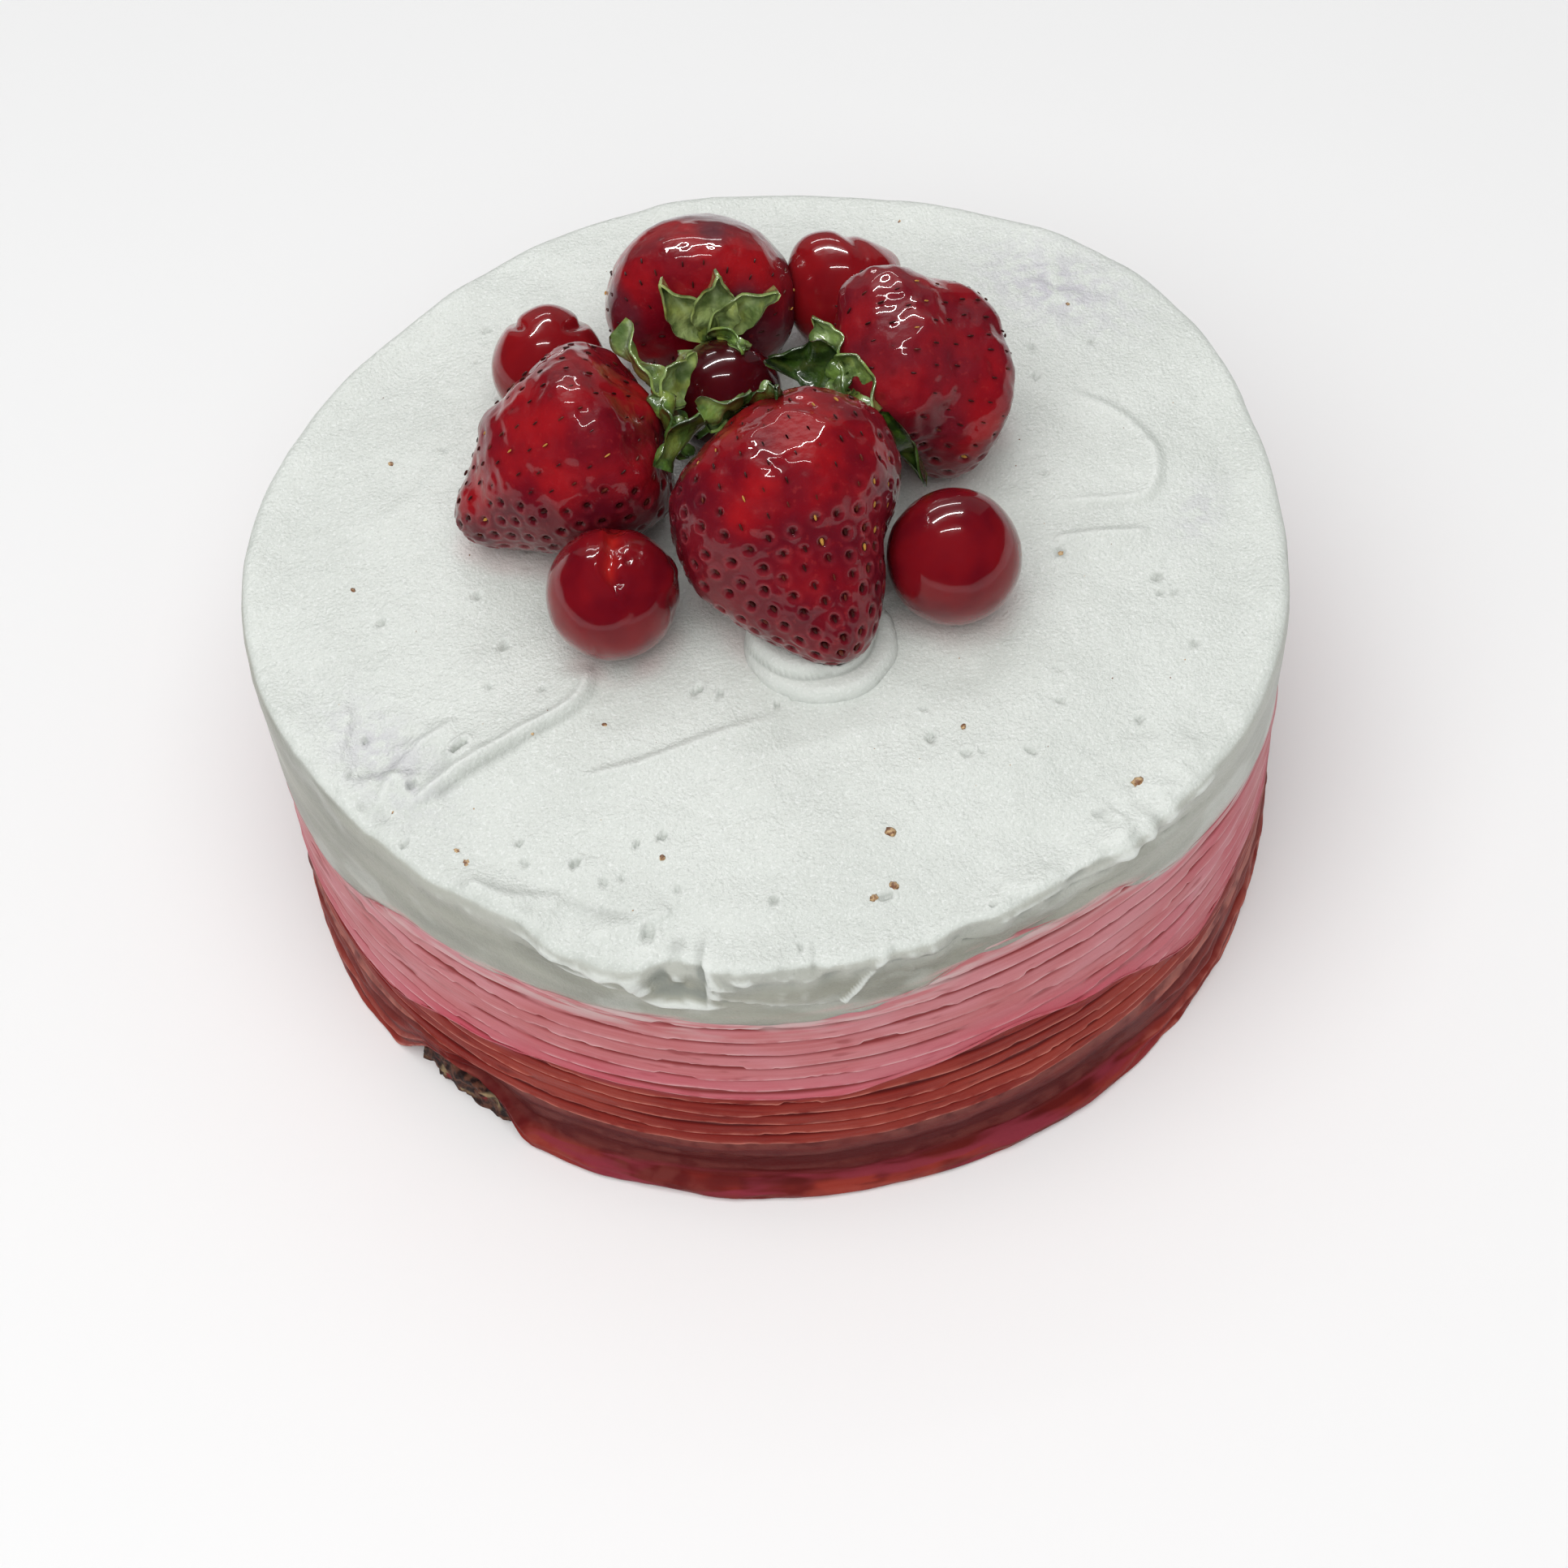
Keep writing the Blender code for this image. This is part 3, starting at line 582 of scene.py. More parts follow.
def line_distance(x, y, route, steps=40):
    """Distance of places from a smooth line, the share of its length there and the sign of their side."""
    line = spline(route, np.linspace(0, len(route) - 1, steps))
    away = np.hypot(x[..., None] - line[:, 0], y[..., None] - line[:, 1])
    nearest = np.argmin(away, axis=-1)
    ahead = np.gradient(line, axis=0)[nearest]
    side = np.sign((x - line[nearest, 0]) * ahead[..., 1] - (y - line[nearest, 1]) * ahead[..., 0])
    return np.min(away, axis=-1), nearest / (steps - 1), side


def turned_to(x, y, place, heading):
    """Places measured from a point, along a heading and across it."""
    a = math.radians(heading)
    along = (x - place[0]) * math.cos(a) + (y - place[1]) * math.sin(a)
    return along, (y - place[1]) * math.cos(a) - (x - place[0]) * math.sin(a)


def stroke_relief(x, y, route, height, width, bank):
    """Height of a spatula mark: a thin ridge, with a bank that falls away on one side."""
    distance, share, side = line_distance(x, y, route, 60)
    ends = smooth(share * 6) * smooth((1 - share) * 6)
    fall = hill(distance, 0, abs(bank)) * (side * np.sign(bank) > 0)
    ridge = hill(distance, 0, width)
    return ends * height * (ridge + 0.55 * fall * (1 - ridge))


def pit_relief(x, y, place, length, width, heading, depth):
    """Height of a pit in the cream, with a low bank round it."""
    along, across = turned_to(x, y, place, heading)
    away = np.hypot(along / length, across / width) * 2
    return -2.0 * depth * ease(1.1, 0.6, away) + 0.6 * depth * hill(away, 1.3, 0.25)


def scattered(draw, reach, least):
    """A place on the top within a radius, evenly spread; least is the share of the area left out inside."""
    angle, radius = draw.uniform(0, math.tau), reach * math.sqrt(draw.uniform(least, 1))
    return radius * math.cos(angle), radius * math.sin(angle)


def small_pits():
    draw = random.Random(8)
    pits = []
    for _ in range(SMALL_PITS):
        place = scattered(draw, SMALL_PIT_REACH, 0.12)
        if place[1] > 0 and draw.random() < 0.6:
            continue
        width = draw.uniform(0.9, 1.7)
        length = width * draw.uniform(1.0, 1.8)
        pits.append((place, length, width, draw.uniform(0, 180), draw.uniform(0.12, 0.35)))
    return pits


def lip_relief(angle, z):
    """How far the marks of the upper wall stand out."""
    out = np.zeros_like(z)
    angle = np.broadcast_to(angle, z.shape)
    degrees = (np.degrees(angle) + 270) % 360 - 270
    for heading, height, wide, tall, amount in LIP_MARKS:
        out += amount * hill(np.radians(degrees - heading) * TOP_RADIUS, 0, wide) * hill(z, height, tall)
    here = np.stack((np.radians(degrees) * TOP_RADIUS, z, 0 * z), axis=-1)
    for heading, spread in ROUGH_PLACES:
        rough = layered(here * np.array((0.6, 1.0, 1.0)), 3.6, 141, 3)
        out += 0.55 * rough * hill(degrees, heading, spread) * hill(z, 65.5, 3.0)
    for route, amount, width in LIP_LINES:
        turned = [(math.radians(a) * TOP_RADIUS, b) for a, b in route]
        near = (np.abs(degrees - route[0][0]) < 14) & (z > 52)
        distance, share, _ = line_distance(here[..., 0][near], here[..., 1][near], turned)
        out[near] += amount * hill(distance, 0, width) * (1 - 0.6 * share)
    wander = degrees + 0.9 * layered(here, 3.4, 144, 2)
    begin, end, low, depth = NOTCH
    inside = ease(begin - 1.2, begin + 1.0, degrees) * ease(end + 0.25, end - 0.25, wander)
    out -= depth * inside * ease(low - 0.6, low + 1.8, z) * (0.8 + 0.3 * noise(here, 2.4, 142))
    (a, high), (b, low), amount = LEDGE
    edge = high + (low - high) * np.clip((degrees - a) / (b - a), 0, 1) + 0.3 * noise(here, 3, 143)
    window = ease(a - 0.4, a + 0.4, wander) * ease(b + 4.5, b - 3.0, wander)
    out += amount * window * ease(-0.15, 0.15, z - edge) * ease(5.5, 2.0, z - edge)
    return out


def top_relief(points):
    """Height of the marks on the top."""
    x, y = points[..., 0], points[..., 1]
    relief = 0.40 * noise(points, 30, 1) + 0.20 * noise(points, 9, 2) + 0.08 * noise(points, 3, 3)
    sweep = points * np.array((0.25, 1.0, 1.0))
    relief += 0.16 * noise(sweep, 5, 4) * ease(-10, -60, y)

    def close(place, reach):
        return (np.abs(x - place[0]) < reach) & (np.abs(y - place[1]) < reach)

    for stroke in STROKES:
        near = close(np.mean(stroke[0], axis=0), 40)
        relief[near] += stroke_relief(x[near], y[near], *stroke)
    for pit in list(PITS) + small_pits():
        near = close(pit[0], 6)
        relief[near] += pit_relief(x[near], y[near], *pit)
    for place, reach, height in TORN:
        away = np.hypot(x - place[0], y - place[1])
        near = away < 2.5 * reach
        crisp = layered(points[near], 5.5, 5, 3)
        torn = ease(-0.2, 0.3, crisp) - 0.5 + 0.4 * crisp
        relief[near] += 0.7 * height * torn * hill(away[near], 0, reach)
    return relief


def hollows(stand):
    """How far a place lies under the middle height round it, over a grid of columns and rows."""
    padded = np.pad(stand, ((0, 0), (3, 3)), mode="edge")
    rows = sum(padded[:, k:k + stand.shape[1]] for k in range(7)) / 7
    middle = sum(np.roll(rows, k, axis=0) for k in range(-4, 5)) / 9
    return middle - stand


def stains(points):
    """Faint red on the cream round each fruit."""
    total = np.zeros(points.shape[:-1])
    for fruit in ALL_FRUIT:
        away = (points - fruit.centre) * np.array((1.0, 1.0, 0.55))
        distance = lengths(away)
        gap = distance[..., 0] - fruit.reach(away / distance)
        total = np.maximum(total, 0.30 * ease(3.2, -1.0, gap))
    return total * (0.6 + 0.6 * noise(points, 5, 24))


def cream_white(finish):
    angle = turn_columns(WHITE_COLUMNS)
    wall = side_radius(angle, HEIGHT)
    low = edge_height(WHITE_EDGE, angle) - GAP
    low = low + 0.8 * layered(ring_point(angle), 9, 21) - 0.6
    flat = wall - RIM[0][0]
    columns = angle[:, None]
    shares = np.linspace(0, 1, TOP_RINGS + 1)[1:] ** 0.65
    radius = flat[:, None] * shares
    z = np.full_like(radius, HEIGHT)
    top = around(columns, radius, z)

    t = np.linspace(0, len(RIM) - 1, RIM_ROWS + 1)[1:]
    profile = spline(RIM, t)
    front = hill((angle + math.radians(92) + math.pi) % math.tau - math.pi, 0, 0.75)[:, None]
    ring = ring_point(angle)[:, None, :]
    share = np.linspace(0, 1, SIDE_ROWS + 1)[1:]
    depth = np.concatenate((profile[:, 1], RIM[-1][1] - 9.0 * share))
    ragged = layered(ring + depth[:, None] * np.array((0.0, 0.0, 0.8)), 7, 31, 4) * (0.12 + 0.88 * front)
    on_rim = ease(8.5, 2.5, profile[:, 0])
    inset = profile[:, 0] * (1 - 0.35 * front * ease(6.0, 0.5, profile[:, 0]) * ease(0.0, 0.4, profile[:, 0]))
    rim_z = HEIGHT + profile[:, 1] + on_rim * (RIM_UNEVEN * 0.7 * layered(ring, 14, 32, 2))
    rim = around(columns, wall[:, None] - inset + on_rim * ragged[:, :RIM_ROWS] * 0.9, rim_z)

    start = HEIGHT + RIM[-1][1]
    side_z = start + (low[:, None] - start) * share
    side = side_radius(columns, side_z) - 0.15 * share**2
    side = side + ragged[:, RIM_ROWS:] * 0.9 * (1 - share) ** 2
    wall_points = around(columns, side, side_z)
    streaks = wall_points * np.array((0.2, 0.2, 1.4))
    side = side + 0.35 * layered(streaks, 4, 33, 3) * ease(0, 0.2, share) * (0.25 + 0.75 * front)
    wall_points = around(columns, side, side_z)

    outer = np.concatenate((rim, wall_points), axis=1)
    on_all = np.concatenate((on_rim, (1 - share) ** 2))
    bumps = lip_relief(columns, outer[..., 2]) * np.concatenate((on_rim, np.ones(SIDE_ROWS)))
    push_out(outer, columns, bumps)

    whole = np.concatenate((top, outer), axis=1)
    down_rim = np.linspace(0, 1, RIM_ROWS)
    over = np.concatenate((np.ones(TOP_RINGS), 1 - ease(0.4, 1.0, down_rim), np.zeros(SIDE_ROWS)))
    raised = top_relief(whole) * over
    whole[..., 2] += raised
    stand = raised + np.concatenate((np.zeros_like(radius), bumps + 0.8 * on_all * ragged), axis=1)
    hollow = np.concatenate((hollows(stand), np.zeros((WHITE_COLUMNS, 2))), axis=1)

    inside = side_radius(angle, low) - SIDE_COAT
    hidden = [around(angle, inside, z)[:, None, :] for z in (low + 1.0, HEIGHT - TOP_COAT)]
    whole = np.concatenate((whole, *hidden), axis=1)
    points = np.concatenate((whole.reshape(-1, 3), [[*TOP_SHIFT, HEIGHT], [*TOP_SHIFT, HEIGHT - TOP_COAT]]))

    height = whole[..., 2]
    # Painted shade on the wall (the side mark): full down the wall, weaker round the sides and back than at
    # the front, a little cloudy.
    shaded_wall = np.concatenate((np.zeros(TOP_RINGS), ease(0.62, 0.80, down_rim), np.ones(SIDE_ROWS + 2)))
    shaded_wall = np.broadcast_to(shaded_wall, height.shape)
    above = height - low[:, None]
    blush = shaded_wall * ease(3.0, 0.0, above) * (0.4 + 0.6 * front)
    lilac_tint = lilac_patches(whole) * (1 - shaded_wall)
    turn = np.broadcast_to(columns, height.shape)
    toward = hill(np.sin(turn), -1.0, 0.30)
    shade_by_angle = 1 - 0.45 * (1 - toward) * ease(-0.5, 0.5, np.cos(turn)) - 0.12 * ease(0.2, -0.5, np.cos(turn))
    shade_by_angle = shade_by_angle * (1 - 0.75 * ease(-0.2, 0.35, np.sin(turn)))
    flat_part = 1 - shaded_wall
    cloudy = ease(0.1, 0.6, layered(whole * np.array((0.5, 0.5, 1.0)), 7, 26, 3))
    shaded_wall = shaded_wall * (shade_by_angle - 0.22 * cloudy)
    # Painted highlight on the wall just under the rim at the front and on raised places; painted shade in
    # hollows.
    rim_highlight = 0.35 * ease(61.5, 66.0, height) * toward * (1 - flat_part)
    lit = np.maximum(0.85 * ease(0.05, 0.4, -hollow) * (1 - 0.3 * flat_part), rim_highlight)
    dim = 0.8 * ease(0.05, 0.5, hollow) * (1 - 0.45 * flat_part)
    stain = stains(whole) * flat_part
    marks = {"side": shaded_wall, "blush": blush, "lilac_tint": lilac_tint, "lit": lit, "dim": dim, "stain": stain}
    marks = {key: np.append(values, (0.0, 0.0)) for key, values in marks.items()}
    faces = closed_faces(WHITE_COLUMNS, whole.shape[1])
    return add_piece("cream_white", points, faces, finish, marks, ["icing_white"])


def lilac_patches(points):
    x, y = points[..., 0], points[..., 1]
    total = np.zeros(x.shape)
    for place, length, width, heading, strength in LILAC_PATCHES:
        along, across = turned_to(x, y, place, heading)
        total += strength * hill(along, 0, length) * hill(across, 0, width)
    return total


# Combed cream

PINK_COLUMNS = 680
ROSE_COLUMNS = 700

# Smoothed over by the spatula: angle in degrees, height, spread round and up in mm
SMOOTHED = (
    (-69.5, 41.0, 9.0, 4.5), (-122.0, 33.0, 5.0, 3.0), (30.0, 36.0, 10.0, 5.0), (150.0, 30.0, 12.0, 4.0),
)


def combed_share(angle, z):
    """How clearly the ridges show, from 0 to 1."""
    share = np.ones_like(z)
    for heading, height, wide, tall in SMOOTHED:
        away = (angle - math.radians(heading) + math.pi) % math.tau - math.pi
        share = share * (1 - hill(away * TOP_RADIUS, 0, wide) * hill(z, height, tall))
    return ease(0.25, 0.75, share)


def comb(angle, high, low, first, last, seed):
    """Rows of points down a combed wall, with each row's marks: (radius, z, lip highlight, groove shade), the
    painted highlight on each lip and the painted shade under it.
    """
    ring = ring_point(angle)
    rows = []
    for k in range(first, last):
        top, pitch = RIDGE_TOPS[k], RIDGE_TOPS[k] - RIDGE_TOPS[k + 1]
        top = top + 1.3 * noise(ring, 70, seed) + 0.5 * noise(ring, 22, seed + 3 * k)
        stand = RIDGE_DEPTH * (0.95 + 0.35 * layered(ring, 18, seed + 50 + k, 2))
        torn = ease(0.42, 0.52, layered(ring, 14, seed + 70 + k, 3))
        nibble = ease(-0.1, 0.4, noise(ring, 14, seed + 130 + k))
        nibble = 0.11 * layered(ring, 2.4, seed + 120 + k, 3) * nibble
        faint = ease(-0.7, -0.35, noise(ring, 20, seed + 160 + k))
        wander = 0.07 * noise(ring, 9, seed + 190 + k)
        for share, out, dark in RIDGE_FORM:
            late = ease(0.45, 0.82, share)
            z = top - pitch * (share + (wander + nibble - 0.13 * torn) * late)
            inside = ease(-0.3, 0.1, high - z)
            past = 0.001 * (200 - len(rows)) * (z > high) - 0.001 * len(rows) * (z < low)
            z = np.clip(z, low, high) + past
            clear = combed_share(angle, z) * faint * inside * ease(0.2, 0.9, high - z)
            held = (0.75 + (out - 0.75) * clear) * stand * (1 - 0.15 * torn * late)
            radius = side_radius(angle, z) - RIDGE_DEPTH + held
            rows.append((radius, z, hill(share, 0.775, 0.075) * clear, dark * clear))
    return rows


def cream_ring(colour, angle, rows, low, high, smear, below, finish):
    """A ring of combed cream, closed by two hidden rows inside it."""
    radius, z, lip_highlight, groove = (np.stack([row[i] for row in rows], axis=1) for i in range(4))
    turn = angle[:, None]
    outer = around(turn, radius, z)
    push_out(outer, turn, 0.12 * layered(outer * np.array((0.3, 0.3, 1.6)), 2.4, 61, 2))
    inner = [around(angle, side_radius(angle, edge) - SIDE_COAT, edge)[:, None, :] for edge in (low, high)]
    whole = np.concatenate((outer, *inner), axis=1)
    marks = {"lip_highlight": lip_highlight, "groove": groove, "smear": smear(turn, z), "low": below(turn, z)}
    marks = {key: np.pad(values, ((0, 0), (0, 2))) for key, values in marks.items()}
    faces = grid_faces(*whole.shape[:2], closed_rows=True)
    name, slot, node = "cream_" + colour, colour + "_cream", "icing_" + colour
    return add_piece(name, whole.reshape(-1, 3), faces, finish, marks, [node])


def cream_pink(finish):
    angle = turn_columns(PINK_COLUMNS)
    high = edge_height(WHITE_EDGE, angle) - GAP
    low = edge_height(PINK_EDGE, angle)
    rows = comb(angle, high, low, 0, 12, 200)
    rows.append((side_radius(angle, low - 0.2) - RIDGE_DEPTH, low - 0.2, 0 * low, 0 * low + 1))

    def smear(turn, z):
        side = 0.5 + 0.5 * hill(np.sin(turn), -1.0, 0.25)
        return 0.9 * side * ease(6.5, 0.5, edge_height(WHITE_EDGE, turn) - z)

    def below(turn, z):
        places = around(turn, TOP_RADIUS, z)
        patches = 0.6 + 0.5 * layered(places * np.array((0.3, 0.3, 1.0)), 7, 151, 2)
        right = 0.55 * hill(turn, math.radians(-38), 0.28) * ease(-0.5, 0.5, layered(places, 8, 153, 2))
        return np.maximum(patches * ease(9.0, 1.0, z - edge_height(PINK_EDGE, turn)), right)

    return cream_ring("pink", angle, rows, low, high, smear, below, finish)


def bare_share(angle):
    """How far the foot is scraped away, from 0 to 1."""
    away = np.abs((np.degrees(angle) - BARE_ANGLE + 180) % 360 - 180)
    return smooth(1.5 - away / BARE_SPREAD * 1.5)


def foot_share(angle):
    """Where the foot is hollow over a bead, from 0 to 1: only at the front."""
    degrees = (np.degrees(angle) + 270) % 360 - 270
    return ease(-136, -128, degrees) * ease(-42, -54, degrees)


def cream_rose(finish):
    angle = turn_columns(ROSE_COLUMNS)
    ring = ring_point(angle)
    high = edge_height(PINK_EDGE, angle) - GAP
    bare = bare_share(angle)
    hollow = foot_share(angle)
    lift = BARE_TALLER * BARE_HEIGHT * bare * (1 + 0.2 * layered(ring, 7, 71, 3))
    rows = comb(angle, high, np.full_like(high, COMB_FOOT), 6, 13, 200)
    for height, out in spline(FOOT, np.linspace(0, len(FOOT) - 1, FOOT_ROWS)):
        height_share = max(height, 0.0) / COMB_FOOT
        z = lift + height_share * (COMB_FOOT - lift)
        up = np.array((0.0, 0.0, height))
        free = ease(16.0, 12.0, height)
        wave = math.sin(math.tau * height / SIDE_PITCH)
        streak = layered((ring + 2 * up) * np.array((0.10, 0.10, 1.0)), 4.2, 153, 2)
        rough = 0.38 * layered((ring + 2 * up) * np.array((0.4, 0.4, 1.2)), 4, 72, 3)
        rough = (rough + 0.30 * streak) * free * ease(0.0, 3.0, height + 1.0)
        shaped = out * (0.8 + 0.3 * layered(ring, 24, 73, 2)) if out > 0 else out
        level = 0.8 * (1 - height_share) ** 1.5 + 0.32 * wave - 0.2 + 0.25 * layered(ring + 3 * up, 6, 74, 3)
        stand = shaped * hollow + level * (1 - hollow)
        stand = stand * np.where(stand > 0, 1 - 1.6 * bare, 1.0)
        radius = side_radius(angle, z) + np.minimum(stand + 1.2 * rough, 1.5 * ease(0, 2, height) + 0.9)
        # The groove mark here is painted shade: in the hollow band over the bead, in the torn streaks and in
        # the troughs of the ridges at the sides.
        shade = ease(3.5, 7.0, height) * ease(15.5, 11.0, height)
        torn = 0.75 * ease(-0.12, -0.4, streak) * free
        groove = np.maximum(shade, torn) * hollow + 0.8 * hill(wave, -1.0, 0.30) * (1 - hollow)
        # Painted highlight on the crests of the ridges down the sides and on the raised streaks of the hollow
        # foot.
        lip_highlight = 0.10 * ease(0.22, 0.5, streak) * free * hollow + 0.7 * hill(wave, 1.0, 0.15) * (1 - hollow)
        rows.append((radius, z, lip_highlight, groove))

    def smear(turn, z):
        near_pink = 0.6 * ease(2.5, 0.3, edge_height(PINK_EDGE, turn) - z)
        return near_pink + 0.9 * ease(6.0, 3.5, z) * foot_share(turn)

    def below(turn, z):
        patches = layered(around(turn, TOP_RADIUS, z) * np.array((0.4, 0.4, 1.0)), 5, 152, 3)
        bead = 0.75 * ease(-0.25, 0.35, patches) * ease(7.0, 4.5, z)
        # Painted shade: a dark band in the recess over the bead, strongest at the front where the foot is
        # hollow; the bead's own dark patches join it.
        dark = np.maximum(0.85 * ease(16.5, 12.5, z) * ease(3.0, 6.0, z), bead)
        return dark * (0.35 + 0.65 * foot_share(turn))

    return cream_ring("rose", angle, rows, lift, high, smear, below, finish)


# Sponge

SPONGE_COLUMNS, SPONGE_ROWS, BARE_ROWS = 700, 6, 24
BARE_TALLER = 1.3  # the edge of the cream over the bare sponge, against BARE_HEIGHT


def sponge(finish):
    """The core, with its open crumb standing out where the foot is scraped."""
    angle = turn_columns(SPONGE_COLUMNS)
    columns = angle[:, None]
    top = HEIGHT - TOP_COAT - GAP
    lift = BARE_HEIGHT * bare_share(columns)
    step = np.maximum(BARE_TALLER * lift - 2 * GAP, 0.06)
    stand = (SIDE_COAT + GAP - BARE_STAND) * ease(1.0, 4.0, lift)
    high = step + (top - step) * np.linspace(1, 0, SPONGE_ROWS) ** 1.6
    share = np.linspace(0, 1, BARE_ROWS)
    z = np.concatenate((high, step * (1 - share**1.3)), axis=1)
    out = np.concatenate((np.zeros_like(high), stand * np.sqrt(ease(-0.05, 0.3, share))), axis=1)
    points = around(columns, side_radius(columns, z) - SIDE_COAT - GAP + out, z)
    push_out(points, columns, (0.9 * layered(points, 2.6, 81, 4) - 0.35) * (out > 0) * ease(0.2, 1.5, out))
    flat = np.concatenate((points.reshape(-1, 3), [[0, 0, top], [0, 0, 0]]))
    faces = closed_faces(*points.shape[:2])
    return add_piece("sponge_crumb", flat, faces, finish, None, ["sponge"])


# Fruit

class Fruit:
    """A rounded fruit, as a radius in each direction from its centre."""

    def __init__(self, centre, line, radii, flat, lumps):
        self.centre = np.array(centre)
        self.along = direction(*line)
        across = np.cross(self.along, (0.0, 0.0, 1.0))
        self.across = across / np.linalg.norm(across)
        self.over = np.cross(self.across, self.along)
        self.radii = np.array(radii)
        self.flat = flat
        self.lumps = [(direction(heading, rise), height) for heading, rise, height in lumps]

    def profile(self, turn):
        """Radius at an angle from the tip, on a smooth curve through the named radii."""
        mirrored = np.concatenate((self.radii[1:2], self.radii, self.radii[-2:-1]))
        return spline(mirrored[:, None], 1 + turn / math.pi * (len(self.radii) - 1))[..., 0]

    def reach(self, units):
        turn = np.arccos(np.clip(units @ self.along, -1, 1))
        across, over = units @ self.across, units @ self.over
        off = across**2 + over**2 + 1e-12
        squeeze = np.sqrt((across**2 + (over * self.flat) ** 2) / off)
        radius = self.profile(turn) * (1 + (squeeze - 1) * np.sin(turn) ** 2)
        for towards, height in self.lumps:
            radius = radius + height * np.exp((units @ towards - 1) / LUMP_SPREAD)
        return radius

    def units(self, turn, spin):
        side = np.cos(spin)[..., None] * self.across + np.sin(spin)[..., None] * self.over
        return np.cos(turn)[..., None] * self.along + np.sin(turn)[..., None] * side

    def surface(self, units, out=0.0):
        return self.centre + units * (self.reach(units) + out)[..., None]

    def normals(self, units):
        """Outward directions of the plain surface."""
        small = 0.02
        first = np.cross(units, self.along + 0.1 * self.over)
        first /= lengths(first)
        second = np.cross(units, first)
        points = []
        for shift in (first, second):
            moved = units + small * shift
            points.append(self.surface(moved / lengths(moved)) - self.surface(units))
        normal = np.cross(points[0], points[1])
        normal /= lengths(normal)
        return normal * np.sign(np.sum(normal * units, axis=-1, keepdims=True))


def berry_fruit(name):
    return Fruit(*BERRIES[name])


def cherry_fruit(name):
    centre, radius, lumps = CHERRIES[name]
    return Fruit(centre, (20, 25), (radius,) * 7, 1.0, lumps)


def view_axes():
    """The main view's directions to the right, up and back."""
    e, r = math.radians(CAMERA_ELEVATION), math.radians(CAMERA_ROLL)
    level = np.array((1.0, 0.0, 0.0))
    top = np.array((0.0, math.sin(e), math.cos(e)))
    back = np.array((0.0, -math.cos(e), math.sin(e)))
    return level * math.cos(r) + top * math.sin(r), top * math.cos(r) - level * math.sin(r), back


def seen(right, up):
    """A direction by its place on a ball as seen from the main view: shares of the radius right and up."""
    x, y, back = view_axes()
    return x * right + y * up + back * math.sqrt(max(0.0, 1 - right * right - up * up))

ALL_FRUIT = [berry_fruit(name) for name in BERRIES] + [cherry_fruit(name) for name in CHERRIES]
REST = HEIGHT + GAP

SEED_STEP = 3.9  # between seeds
PIT_REACH = 0.78
PIT_DEPTH = 0.75
BERRY_DETAIL = {"front": (160, 230), "left": (130, 190), "right": (130, 190), "back": (100, 140)}
GLAZE_EDGE = {"front": 0.63, "left": 0.36, "right": 0.0, "back": -0.9}  # how far the surface there faces up
# How much of the duller red with painted sheen each berry gets.
BERRY_DULL = {"front": 0.0, "left": 0.1, "right": 0.45, "back": 1.3}
RIGHT_BRIDGE = (62, 53, 2.2)  # glaze between the two shoulders of the right berry: heading, rise, height
BACK_RADII = (15.4, 15.1, 15.5, 16.8, 17.6, 14.2, 11.3)  # the glaze fills the waist of the back berry
NEAREST_BATCH = 8000  # points matched to their nearest seeds at a time


def seed_units(fruit, name):
    """Directions of the seeds: rows that wind round the fruit, closer towards the tip."""
    draw = random.Random("seeds " + name)
    found = []
    turn = 1.5 if name == "back" else 0.14
    row = 0
    while turn < 2.75:
        radius = float(fruit.profile(np.array([turn]))[0])
        step = SEED_STEP * (0.86 + 0.28 * min(turn / 1.8, 1.0))
        count = max(3, round(math.tau * radius * math.sin(turn) / step))
        shift = 0.5 * (row % 2) + draw.uniform(-0.12, 0.12)
        for k in range(count):
            spin = math.tau * (k + shift + draw.uniform(-0.14, 0.14)) / count
            found.append((turn + draw.uniform(-0.1, 0.1) * step / radius, spin))
        turn += step * 0.88 / radius
        row += 1
    found = np.array(found)
    return fruit.units(found[:, 0], found[:, 1])


def fruit_faces(rings, sides):
    """Faces of a ball of points round a fruit's line, turned to the outside."""
    return [face[::-1] for face in closed_faces(sides, rings - 1)]


def glaze_share(fruit, units, name):
    """Where the clear glaze lies, from 0 to 1: on top, with drips down to an uneven edge."""
    up = fruit.normals(units)[..., 2]
    points = fruit.centre + units * 20
    return ease(-0.20, 0.16, up - GLAZE_EDGE[name] + 0.14 * layered(points, 7, 41, 3))


